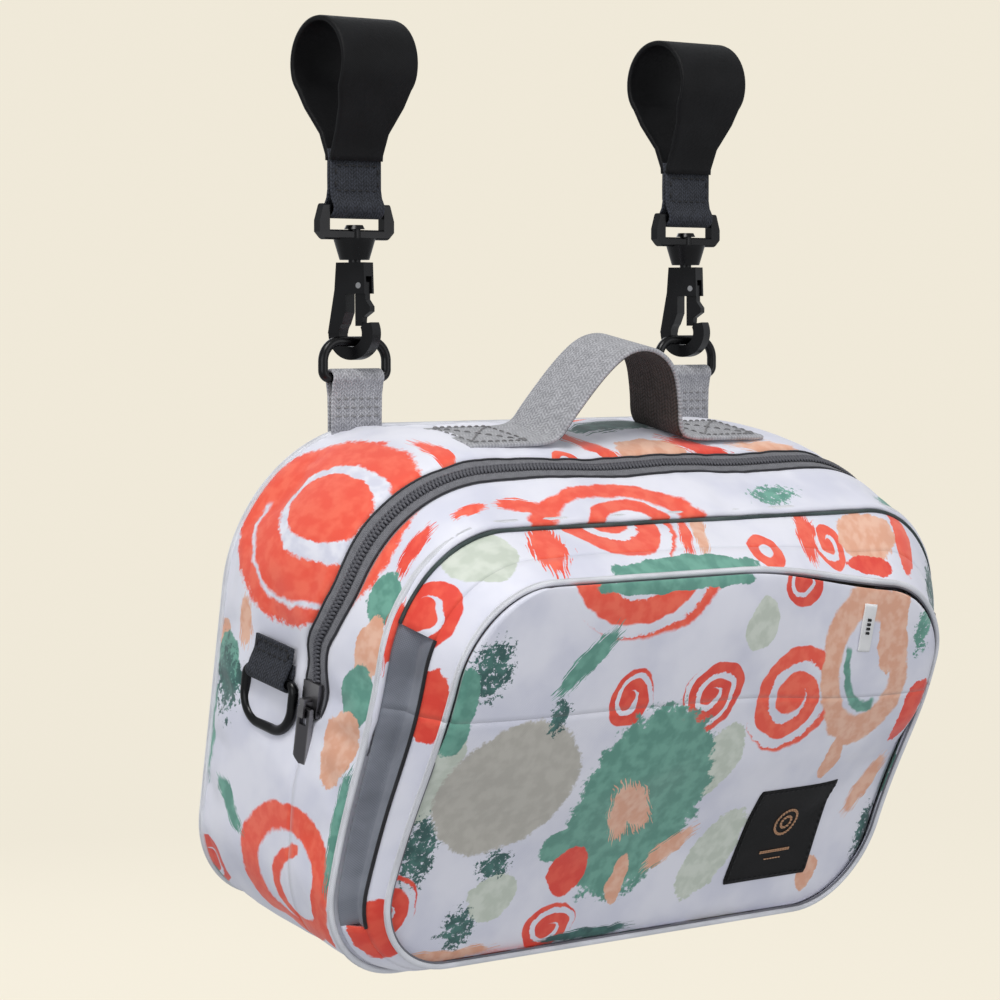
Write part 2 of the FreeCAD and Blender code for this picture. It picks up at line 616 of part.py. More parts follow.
def linings():
    """Thin lining sheets inside the rear half, the lower half and the lid."""
    outside, inside = "(wall + lining_gap)", "(wall + lining_gap + lining_skin)"
    sleeve = ring(outside, inside)
    block = hull(outside)
    back_face = "wall + lining_gap"
    low_level = "-zip_end - 2"
    parts = [common(sleeve, slab(front="zip_depth - tape_half - 1", back=back_face)),
             common(sleeve, slab(front="depth - wall - lining_gap", back=back_face, high=low_level)),
             common(block, slab(front=f"{back_face} + lining_skin", back=back_face)),
             common(block, slab(front="depth - wall - lining_gap", high=low_level,
                                back="depth - wall - lining_gap - lining_skin"))]
    on_bag(fuse(*parts), "lining_body")
    on_bag(common(sleeve, slab(front="depth - wall - lining_gap", back="zip_depth + tape_half + 1",
                               low=ABOVE_FOLD)), "lining_lid")


def inside_pieces():
    """The stiff base board and the slip pocket with its elastic hem on the back lining."""
    board = box(("-108", "-91", "-height + 4.6"), ("108", "-9", "-height + 7"))
    on_bag(held(board), "base_board")
    lining_face = "-wall - lining_gap - lining_skin"
    sheath = box(("-96", f"{lining_face} - 7", "-178"), ("96", f"{lining_face} - 0.1", "-92"))
    space = box(("-95", f"{lining_face} - 6", "-177"), ("95", f"{lining_face} + 1", "-80"))
    on_bag(cut(sheath, space), "inner_pocket")
    hem = box(("-96", f"{lining_face} - 8.6", "-100"), ("96", f"{lining_face} - 7", "-92"))
    on_bag(held(hem), "inner_pocket_elastic")


# ---- carry handle and side rings -----------------------------------------------------------------

def carry_handle():
    """The free arch of webbing, and its two ends sewn flat on the top."""
    rise = "(handle_top - handle_start)"
    centre = f"(handle_top - (handle_half ^ 2 + {rise} ^ 2) / (2 * {rise}))"
    body = new_body("Handle")
    outer = new_sketch(body, "XZ_Plane", "handle_depth")
    circle(outer, "0", centre, f"handle_top - {centre}")
    extrude(body, outer, "web_width")
    inner = new_sketch(body, "XZ_Plane", "handle_depth")
    circle(inner, "0", centre, f"handle_top - handle_skin - {centre}")
    extrude(body, inner, "web_width + 2", "Pocket")
    below = new_sketch(body, "XZ_Plane", "handle_depth")
    polygon(below, [("-90", "-90"), ("90", "-90"), ("90", "handle_start"), ("-90", "handle_start")])
    extrude(body, below, "web_width + 2", "Pocket")
    on_bag(body, "carry_handle")
    for side_name, side in SIDES.items():
        near, far = sorted((f"{side} * (handle_half + 0.5)", f"{side} * (handle_half + 46)"), key=number)
        end = box((near, "-handle_depth - web_width / 2", "0.3"),
                  (far, "web_width / 2 - handle_depth", "0.3 + handle_skin"))
        on_bag(held(end), f"handle_end_{side_name}")


def side_ring(side_name, side):
    """A webbing tab on the side wall with a D-ring hanging in its fold, for a shoulder strap."""
    out = f"{side} * (half_width + side_ring_out)"
    face = f"{side} * half_width"
    half = "web_width / 2"
    skin = f"{side} * (half_width + 2.4)"
    near, far = sorted((face, skin), key=number)
    strip = box((near, f"-side_ring_depth - {half}", "4 - side_ring_drop"),
                (far, f"{half} - side_ring_depth", "17 - side_ring_drop"))
    wrap_radius = "dring_rod + 1.4"
    start = (out, f"-side_ring_depth - {half}", "-side_ring_drop")
    wrap = cylinder(wrap_radius, "web_width", start, AXIS_Y, "Fold")
    web_low, web_high = sorted((face, out), key=number)
    web = box((web_low, f"-side_ring_depth - {half}", "-side_ring_drop"),
              (web_high, f"{half} - side_ring_depth", "5 - side_ring_drop"))
    hole = cylinder("dring_rod + rod_play", "2 * web_width",
                    (out, "-side_ring_depth - web_width", "-side_ring_drop"), AXIS_Y, "RodHole")
    on_bag(cut(fuse(strip, web, wrap), hole), f"side_tab_{side_name}")
    body = rod_frame(f"SideRing_{side_name}", "dring_half", "0", "-20", "3", "11", "dring_rod")
    body.Placement = FreeCAD.Placement(FreeCAD.Vector(), FreeCAD.Rotation(AXIS_Z, 90))
    bind(body, Placement__Base__x=out, Placement__Base__y="-side_ring_depth",
         Placement__Base__z="-side_ring_drop")
    on_bag(held(body), f"side_dring_{side_name}")


# ---- build and write -----------------------------------------------------------------------------

def build():
    for side_name, side in SIDES.items():
        hanging_loop(side_name, side)
        loop_fastener(side_name, side)
        swivel_ring(side_name, side)
        back_dring(side_name, side)
        hook(side_name, side)
        gate_pin(side_name, side)
        gate(side_name, side)
        tab(side_name, side)
        side_ring(side_name, side)
    shell_panels()
    zipper()
    zipper_slider()
    zipper_pull()
    front_pocket()
    patch_on_panel("label_patch", "label_right", "label_drop", "24", "22.5", "0.8")
    patch_on_panel("side_tag", "80", "50", "4", "11", "0.8")
    linings()
    inside_pieces()
    carry_handle()
    doc.recompute()


def check():
    """Stop if any object failed to build or any sub-part has no valid solid."""
    for item in doc.Objects:
        if {"Invalid", "Error"} & set(item.State):
            raise RuntimeError(f"{item.Name} ({item.Label}) failed: {item.State}")
    for item in PIECES:
        shape = item.Shape
        if shape.isNull() or not shape.isValid() or not shape.Solids:
            raise RuntimeError(f"{item.Label} has no valid solid")


def write():
    os.makedirs("parts", exist_ok=True)
    for item in PIECES:
        item.Shape.exportStep(f"parts/{item.Label}.step")
        extent = item.Shape.BoundBox
        print(f"{item.Label:26s} {len(item.Shape.Solids)} solids {item.Shape.Volume:10.0f} mm3  "
              f"x {extent.XMin:.1f}..{extent.XMax:.1f} y {extent.YMin:.1f}..{extent.YMax:.1f} "
              f"z {extent.ZMin:.1f}..{extent.ZMax:.1f}")


build()
check()
write()
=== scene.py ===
"""Looks of the stroller diaper bag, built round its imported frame.

The bag is drawn in millimetres in its own frame: u to the right, v to the back and w up, from the
middle of its back top seam. `place` leans it back and gives metres of the row frame. Printed pieces
carry a chart: millimetres on the cloth before it was sewn, which their pattern and weave follow.
"""
import math

import bpy
import numpy as np
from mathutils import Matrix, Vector


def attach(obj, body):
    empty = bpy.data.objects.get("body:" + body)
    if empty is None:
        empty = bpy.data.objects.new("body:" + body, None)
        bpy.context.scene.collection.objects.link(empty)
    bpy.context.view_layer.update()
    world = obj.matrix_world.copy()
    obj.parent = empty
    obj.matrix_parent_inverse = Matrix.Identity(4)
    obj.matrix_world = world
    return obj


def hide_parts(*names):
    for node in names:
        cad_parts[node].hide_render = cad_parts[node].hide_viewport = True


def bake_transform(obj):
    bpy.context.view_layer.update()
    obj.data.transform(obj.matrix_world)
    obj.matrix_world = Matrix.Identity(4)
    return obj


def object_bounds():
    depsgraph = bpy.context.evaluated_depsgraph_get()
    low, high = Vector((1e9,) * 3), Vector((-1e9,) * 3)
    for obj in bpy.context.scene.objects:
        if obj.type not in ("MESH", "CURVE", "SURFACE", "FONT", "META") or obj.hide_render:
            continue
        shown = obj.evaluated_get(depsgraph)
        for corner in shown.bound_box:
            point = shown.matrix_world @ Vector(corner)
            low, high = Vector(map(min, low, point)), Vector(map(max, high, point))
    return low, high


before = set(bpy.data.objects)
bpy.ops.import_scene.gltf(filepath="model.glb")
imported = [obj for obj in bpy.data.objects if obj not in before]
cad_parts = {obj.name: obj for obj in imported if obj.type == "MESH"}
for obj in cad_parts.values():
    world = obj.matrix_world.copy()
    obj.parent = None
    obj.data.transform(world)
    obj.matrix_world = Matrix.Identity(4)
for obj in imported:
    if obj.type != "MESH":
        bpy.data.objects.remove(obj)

cad_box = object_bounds()

# ---- sizes, in millimetres and degrees ----------------------------------------------------------

MM = 0.001
TILT = math.radians(10.5)
HANG = 145  # handlebar down to the seam at the bag's back top edge
FOLD = -83  # level of the crease across the front
ZIP = -65  # depth of the zipper's line
ZIP_LIP = 7  # half of the gap that its tapes fill
ZIP_SAG = 7.5  # how far it bows forward over the top
ZIP_END = -97  # level of its lower ends
SHOULDER = -50  # depth at which the top starts to slope down
FRONT = -100  # depth of the front seam
REACH = -133.4  # depth of the pocket panel's plane at the level of the top
LEAN = math.tan(math.radians(6.5))
TAB_DEPTH = -41  # middle of the side tabs
REAR_OUTLINE = dict(half=145, top=0, low=-193, top_radius=62, low_radius=37)
FRONT_OUTLINE = dict(half=145, top=-15, low=-196, top_radius=48, low_radius=37)
POCKET_OUTLINE = dict(half=144, top=-16.5, low=-195, top_radius=47.5, low_radius=37)
PANEL_OUTLINE = dict(half=130.3, top=-30.7, low=-191.5, top_radius=36.3, low_radius=36.3)
COLUMNS, ARC_TOP, ABOVE, BELOW, ARC_LOW = 84, 26, 7, 26, 18
ROWS = ARC_TOP + ABOVE + BELOW + ARC_LOW
FOLD_ROW = ARC_TOP + ABOVE
LOOP = 2 * (COLUMNS + ROWS)
BELLOWS_TOP, BELLOWS_LOW = -48, -172
BELLOWS_TUCK = 3.4
POCKET_DEPTH = 24
RIM = 9.5  # printed strip between the bellows and the panel's piping
STRAP = 90  # middle out to a hanging strap
SHELL_SKIN = 2.2
WEB = 25  # width of the webbing
SIDES = {"left": -1, "right": 1}


# ---- geometry helpers ---------------------------------------------------------------------------

def place(points):
    """Bag millimetres to metres of the row frame."""
    u, v, w = np.moveaxis(np.asarray(points, float), -1, 0)
    back = v * math.cos(TILT) - w * math.sin(TILT)
    up = v * math.sin(TILT) + w * math.cos(TILT) - HANG
    return np.stack([u, back, up], -1) * MM


def bag_frame(x, y, z):
    """Row frame millimetres, as for the hanging hardware, to bag millimetres."""
    return [x, y * math.cos(TILT) + (z + HANG) * math.sin(TILT),
            (z + HANG) * math.cos(TILT) - y * math.sin(TILT)]


def waves(x, y, size, seed):
    """A smooth random field of about +-1 whose bumps are about `size` across."""
    draw = np.random.default_rng(seed)
    total = 0
    for _ in range(7):
        turn = draw.uniform(0, 2 * math.pi)
        length = size * draw.uniform(1.3, 3)
        phase = draw.uniform(0, 2 * math.pi)
        total = total + np.sin(2 * math.pi * (x * math.cos(turn) + y * math.sin(turn)) / length + phase)
    return total / 3.5


def smooth(value, low, high):
    part = np.clip((value - low) / (high - low), 0, 1)
    return part * part * (3 - 2 * part)


def side_rows(half, top, low, top_radius, low_radius):
    """Levels from top to bottom, with the half width of the outline at each."""
    upper = np.linspace(0, math.pi / 2, ARC_TOP + 1)
    lower = np.linspace(math.pi / 2, 0, ARC_LOW + 1)
    level = np.concatenate([top - top_radius * (1 - np.cos(upper)),
                            np.linspace(top - top_radius, FOLD, ABOVE + 1)[1:],
                            np.linspace(FOLD, low + low_radius, BELOW + 1)[1:],
                            low + low_radius * (1 - np.cos(lower))[1:]])
    reach = np.concatenate([half - top_radius * (1 - np.sin(upper)), np.full(ABOVE + BELOW, half),
                            half - low_radius * (1 - np.sin(lower))[1:]])
    return level, reach


def loop(outline):
    """(u, w) round an outline: along the top to the right, down, back along the bottom and up."""
    level, reach = side_rows(**outline)
    spread = np.linspace(-1, 1, COLUMNS + 1)
    top = np.stack([reach[0] * spread, np.full(COLUMNS + 1, level[0])], 1)
    right = np.stack([reach, level], 1)[1:]
    low = np.stack([-reach[-1] * spread, np.full(COLUMNS + 1, level[-1])], 1)[1:]
    left = np.stack([-reach, level], 1)[::-1][1:-1]
    return np.concatenate([top, right, low, left])


def outward(ring):
    """Unit normals of a closed loop of (u, w), pointing away from its middle."""
    along = np.roll(ring, -1, 0) - np.roll(ring, 1, 0)
    normal = np.stack([-along[:, 1], along[:, 0]], 1)
    return normal / np.linalg.norm(normal, axis=1)[:, None]


def run_length(ring):
    """Distance round a loop from the middle of its top, negative to the left."""
    step = np.linalg.norm(np.roll(ring, -1, 0) - ring, axis=1)
    total = np.concatenate([[0], np.cumsum(step)[:-1]])
    distance = total - total[COLUMNS // 2]
    return np.where(distance > step.sum() / 2, distance - step.sum(), distance)


REAR_LOOP, FRONT_LOOP = loop(REAR_OUTLINE), loop(FRONT_OUTLINE)
POCKET_LOOP, PANEL_LOOP = loop(POCKET_OUTLINE), loop(PANEL_OUTLINE)
SHELL_RUN, POCKET_RUN = run_length(REAR_LOOP), run_length(PANEL_LOOP)
REAR_NORMAL = outward(REAR_LOOP)


def near(value, centre, size):
    return np.exp(-((value - centre) / size) ** 2)


def settle(points):
    """How the filled bag hangs: its zipper and front lean out at the top, the right corner droops."""
    u, v, w = np.moveaxis(np.asarray(points, float), -1, 0)
    v = v - ZIP_SAG * smooth(-v, 34, 62) * (1 - smooth(-v, 68, 99)) * smooth(w, -73, -41)
    ahead = smooth(-v, 66, 100)
    droop = smooth(-v, 102, 130) * smooth(u, 0, 120) * smooth(w, -125, -38)
    return np.stack([u - 7 * droop, v + ahead * (2.2 - 9 * np.tanh((w + 112) / 42)), w - 11 * droop], -1)


def shell_form(index, depth):
    """The padded wall before it is filled: ruled between its seams, with some swell and softness."""
    slope = np.clip((depth - SHOULDER) / (FRONT - SHOULDER), 0, 1)
    slope = (slope * slope * 0.35 + slope * 0.65)[..., None]
    ring = REAR_LOOP[index] * (1 - slope) + FRONT_LOOP[index] * slope
    normal = REAR_NORMAL[index]
    across = np.sin(np.clip(depth / FRONT, 0, 1) * math.pi) ** 0.7
    side = np.abs(normal[..., 0])
    crest = np.where(normal[..., 1] > 0, 3.2, 2.2) * (1 - side) + 2.6 * side
    level = ring[..., 1]
    held = near(depth, TAB_DEPTH, 17) * near(level, -82, 17) + near(depth, ZIP, 12) * near(level, -90, 15)
    held = held * side
    run = SHELL_RUN[index]
    soft = across * (crest * (1 - np.minimum(held, 1)) + 0.9 * waves(run, depth, 34, 3))
    seam = np.minimum(np.abs(depth), np.abs(depth - FRONT))
    pucker = waves(run, depth * 0.3, 9, 15) * np.minimum(seam / 4, 1) * np.exp(-seam / 11)
    soft = soft + 0.45 * pucker * (1 - held)
    offset = soft[..., None] * normal
    return np.concatenate([(ring + offset)[..., :1], depth[..., None], (ring + offset)[..., 1:]], -1)


def shell_point(index, depth, proud=0.0):
    """A point of the filled wall at a loop index and a depth v, moved out along its normal."""
    index, depth = np.broadcast_arrays(index, np.asarray(depth, float))
    place_in = np.clip(depth / FRONT, 0, 1) * (len(SHELL_SHIFT) - 1)
    row = np.minimum(place_in.astype(int), len(SHELL_SHIFT) - 2)
    part = (place_in - row)[..., None]
    shift = SHELL_SHIFT[row, index] * (1 - part) + SHELL_SHIFT[row + 1, index] * part
    out = np.concatenate([REAR_NORMAL[index][..., :1], np.zeros(depth.shape + (1,)),
                          REAR_NORMAL[index][..., 1:]], -1)
    return shell_form(index, depth) + shift + np.asarray(proud)[..., None] * out


def new_piece(name, points, faces, chart=None, shade=True):
    """A mesh object from bag millimetres, with its chart kept as the attribute `cloth`."""
    mesh = bpy.data.meshes.new(name)
    mesh.from_pydata(place(settle(points)).tolist(), [], faces)
    if chart is not None:
        flat = np.zeros((len(chart), 3))
        flat[:, :2] = chart
        mesh.attributes.new("cloth", "FLOAT_VECTOR", "POINT").data.foreach_set("vector", flat.ravel())
    if shade:
        mesh.shade_smooth()
    mesh.update()
    piece = bpy.data.objects.new(name, mesh)
    bpy.context.scene.collection.objects.link(piece)
    return piece


def grid_faces(rows, columns, closed=False, flip=False):
    """Quads of a grid of rows x columns points; closed joins the last column to the first."""
    faces = []
    for row in range(rows - 1):
        for column in range(columns if closed else columns - 1):
            after = (column + 1) % columns
            quad = [row * columns + column, row * columns + after,
                    (row + 1) * columns + after, (row + 1) * columns + column]
            faces.append(quad[::-1] if flip else quad)
    return faces


def grid(name, points, chart=None, closed=False, flip=False):
    rows, columns = points.shape[:2]
    flat = None if chart is None else chart.reshape(-1, 2)
    return new_piece(name, points.reshape(-1, 3), grid_faces(rows, columns, closed, flip), flat)


def thicken(piece, thickness, offset=-1.0):
    solid = piece.modifiers.new("Thickness", "SOLIDIFY")
    solid.thickness = thickness * MM
    solid.offset = offset
    level = piece.modifiers.new("Normals", "WEIGHTED_NORMAL")
    level.weight = 70
    return piece


def finish_piece(piece, material, slot, *nodes, body=None):
    """Gives a piece its material, hides the CAD nodes it stands for and attaches it to a body to ride with;
    `slot` is not used.
    """
    piece.data.materials.append(material)
    if nodes:
        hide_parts(*nodes)
    if body:
        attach(piece, body)
    return piece


def along(path):
    """Distance along a path at each of its points."""
    return np.concatenate([[0], np.cumsum(np.linalg.norm(np.diff(path, axis=0), axis=1))])


def unit(vectors):
    return vectors / np.linalg.norm(vectors, axis=1)[:, None]


def sweep(name, rings, chart, closed=False):
    """The skin round a row of cross sections: joined end to end when closed, else capped."""
    rows, count = rings.shape[:2]
    last = (rows - 1) * count
    faces = grid_faces(rows, count, closed=True)
    if closed:
        faces += [[last + i, last + (i + 1) % count, (i + 1) % count, i] for i in range(count)]
    else:
        faces += [list(range(count))[::-1], list(range(last, last + count))]
    flat = np.stack(np.broadcast_arrays(*chart), -1)
    return new_piece(name, rings.reshape(-1, 3), faces, flat.reshape(-1, 2))


def webbing(name, path, across, width, skin, edge=0.35):
    """A flat strap along a path: `across` is its width's direction, with softly rounded edges."""
    path = np.asarray(path, float)
    tangent = unit(np.gradient(path, axis=0))
    side = np.broadcast_to(np.asarray(across, float), path.shape)
    side = unit(side - (side * tangent).sum(1)[:, None] * tangent)
    face = np.cross(tangent, side)
    half = np.broadcast_to(width, (len(path),))[:, None] / 2
    rim = [(-1, -edge), (-0.985, -0.8), (-0.94, -1), *[(x, -1) for x in np.linspace(-0.8, 0.8, 9)],
           (0.94, -1), (0.985, -0.8), (1, -edge)]
    ribs = np.array(rim + [(-x, -y) for x, y in rim])
    rings = (path[:, None] + side[:, None] * (ribs[:, :1] * half[:, None])
             + face[:, None] * (ribs[:, 1:] * skin / 2))
    return sweep(name, rings, (along(path)[:, None], ribs[:, 0] * half))


def tube(name, path, radius, sides=10, closed=True):
    """A round welt or rod along a path."""
    path = np.asarray(path, float)
    tangent = unit(np.roll(path, -1, 0) - np.roll(path, 1, 0) if closed else np.gradient(path, axis=0))
    side = unit(np.cross(tangent, (0, 1, 0)))
    face = np.cross(side, tangent)
    turn = np.linspace(0, 2 * math.pi, sides, endpoint=False)
    round_it = side[:, None] * np.cos(turn)[:, None] + face[:, None] * np.sin(turn)[:, None]
    return sweep(name, path[:, None] + radius * round_it, (along(path)[:, None], turn * 1.5), closed)


def stitches(name, runs, thread=0.32, length=2.4, gap=1.1):
    """Rows of stitches: each run is a path and the direction that faces out of the cloth."""
    points, faces = [], []
    size = thread * np.array([0.35, 0.9, 1, 0.9, 0.35])
    rise = thread * np.array([-0.6, 0.3, 0.6, 0.3, -0.6])
    skin = grid_faces(5, 6, closed=True) + [list(range(6))[::-1], list(range(24, 30))]
    for path, out in runs:
        path = np.asarray(path, float)
        run = along(path)
        count = max(1, int(run[-1] / (length + gap)))
        pitch = run[-1] / count
        for number in range(count):
            start = number * pitch + (pitch - length) / 2
            where = start + length * np.array([0, 0.18, 0.5, 0.82, 1])
            line = np.stack([np.interp(where, run, path[:, axis]) for axis in range(3)], 1)
            forward = line[-1] - line[0]
            forward /= np.linalg.norm(forward)
            normal = np.asarray(out, float)
            normal = normal - (normal @ forward) * forward
            normal /= np.linalg.norm(normal)
            side = np.cross(forward, normal)
            base = len(points)
            for middle, radius, lift in zip(line, size, rise):
                for turn in np.linspace(0, 2 * math.pi, 6, endpoint=False):
                    points.append(middle + normal * (lift + radius * math.sin(turn))
                                  + side * radius * 1.2 * math.cos(turn))
            faces += [[base + i for i in face] for face in skin]
    return new_piece(name, np.array(points), faces)


def rectangle(x0, x1, y0, y1):
    """The four sides of a rectangle, as pairs of corners."""
    corners = [(x0, y0), (x1, y0), (x1, y1), (x0, y1), (x0, y0)]
    return list(zip(corners, corners[1:]))


def swell(points, pinned, closed, pressure, slack, cap):
    """Cloth blown up from inside with its seams pinned; a point moves `cap` millimetres at most."""
    rows, columns = points.shape[:2]
    piece = grid("swelling", points, closed=closed, flip=True)
    pins = piece.vertex_groups.new(name="seams")
    pins.add([int(i) for i in np.flatnonzero(pinned.ravel())], 1.0, "REPLACE")
    cloth = piece.modifiers.new("Cloth", "CLOTH")
    cloth.settings.quality = 6
    cloth.settings.mass = 0.3
    cloth.settings.tension_stiffness = cloth.settings.compression_stiffness = 20
    cloth.settings.bending_stiffness = 1.5
    cloth.settings.vertex_group_mass = "seams"
    cloth.settings.use_pressure = True
    cloth.settings.uniform_pressure_force = pressure
    cloth.settings.shrink_min = -slack
    cloth.settings.effector_weights.gravity = 0
    scene = bpy.context.scene
    for number in range(1, 19):
        scene.frame_set(number)
    shown = piece.evaluated_get(bpy.context.evaluated_depsgraph_get())
    moved = np.zeros(rows * columns * 3)
    shown.data.vertices.foreach_get("co", moved)
    moved = moved.reshape(-1, 3) / MM
    moved = np.stack(bag_frame(*moved.T), -1).reshape(rows, columns, 3)
    mesh = piece.data
    bpy.data.objects.remove(piece)
    bpy.data.meshes.remove(mesh)
    scene.frame_set(1)
    shift = moved - points
    size = np.linalg.norm(shift, axis=2, keepdims=True)
    return points + shift * np.minimum(1, cap / np.maximum(size, 1e-9))


# ---- materials ----------------------------------------------------------------------------------

def srgb(red, green, blue):
    """A colour written as it looks on a screen, 0 to 255, as linear light."""
    parts = [c / 255 for c in (red, green, blue)]
    return tuple(c / 12.92 if c <= 0.04045 else ((c + 0.055) / 1.055) ** 2.4 for c in parts) + (1.0,)


class Finish:
    """A node material under construction, round one Principled shader."""

    def __init__(self, name, roughness=0.6, metallic=0.0, **sockets):
        self.material = bpy.data.materials.new(name)
        self.material.use_nodes = True
        self.tree = self.material.node_tree
        self.shader = self.tree.nodes["Principled BSDF"]
        self.shader.inputs["Roughness"].default_value = roughness
        self.shader.inputs["Metallic"].default_value = metallic
        for socket, value in sockets.items():
            self.shader.inputs[socket.replace("_", " ")].default_value = value

    def node(self, kind, *inputs, **properties):
        node = self.tree.nodes.new("ShaderNode" + kind)
        for key, value in properties.items():
            setattr(node, key, value)
        for socket, value in zip(node.inputs, inputs):
            if isinstance(value, bpy.types.NodeSocket):
                self.tree.links.new(value, socket)
            elif value is not None:
                socket.default_value = value
        return node

    def math(self, operation, *values):
        return self.node("Math", *values, operation=operation).outputs[0]

    def step(self, value, low, high):
        """0 below low, 1 above high and a soft edge between; low may be the larger."""
        ramp = self.node("MapRange", value, low, high, 0.0, 1.0, interpolation_type="SMOOTHSTEP")
        return ramp.outputs[0]

    def noise(self, vector, scale, detail=2.0, roughness=0.5):
        node = self.node("TexNoise", vector)
        node.inputs["Scale"].default_value = scale
        node.inputs["Detail"].default_value = detail
        node.inputs["Roughness"].default_value = roughness
        return node.outputs[0]

    def mix(self, factor, first, second):
        node = self.tree.nodes.new("ShaderNodeMix")
        node.data_type = "RGBA"
        for socket, value in zip((node.inputs[0], node.inputs[6], node.inputs[7]), (factor, first, second)):
            if isinstance(value, bpy.types.NodeSocket):
                self.tree.links.new(value, socket)
            else:
                socket.default_value = value
        return node.outputs[2]

    def cloth(self):
        """The chart's millimetres."""
        return self.node("Attribute", attribute_name="cloth").outputs["Vector"]

    def place(self):
        """The object's own metres, for pieces that have no chart."""
        return self.node("TexCoord").outputs["Object"]

    def local(self, point, x, y, wide, tall, turn=0.0):
        node = self.node("Mapping", point, (x, y, 0), (0, 0, math.radians(turn)), (wide, tall, 1))
        node.vector_type = "TEXTURE"
        return node.outputs[0]

    def length(self, vector):
        return self.node("VectorMath", vector, operation="LENGTH").outputs["Value"]

    def weave(self, point, pitch, rise=0.35):
        """Height of a plain weave of threads `pitch` apart."""
        parts = self.node("SeparateXYZ", point).outputs
        turn = 2 * math.pi / pitch
        warp = self.math("SINE", self.math("MULTIPLY", parts[0], turn))
        weft = self.math("SINE", self.math("MULTIPLY", parts[1], turn))
        return self.math("MULTIPLY", self.math("MULTIPLY", warp, weft), rise)

    def bump(self, height, strength, distance):
        node = self.node("Bump")
        node.inputs["Strength"].default_value = strength
        node.inputs["Distance"].default_value = distance
        self.tree.links.new(height, node.inputs["Height"])
        self.tree.links.new(node.outputs[0], self.shader.inputs["Normal"])

    def colour(self, value):
        self.feed("Base Color", value)

    def feed(self, socket, value):
        if isinstance(value, bpy.types.NodeSocket):
            self.tree.links.new(value, self.shader.inputs[socket])
        else:
            self.shader.inputs[socket].default_value = value


GROUND = srgb(232, 232, 241)
SHADE = srgb(214, 215, 229)
PAINTS = {
    "white": (GROUND, SHADE),
    "coral": (srgb(242, 82, 56), srgb(248, 104, 76)),
    "red": (srgb(230, 60, 40), srgb(238, 82, 58)),
    "teal": (srgb(88, 146, 130), srgb(110, 168, 150)),
    "pine": (srgb(40, 86, 82), srgb(66, 116, 108)),
    "beige": (srgb(182, 178, 168), srgb(192, 188, 178)),
    "sage": (srgb(196, 204, 190), srgb(212, 218, 206)),
    "peach": (srgb(228, 168, 138), srgb(238, 190, 164)),
}


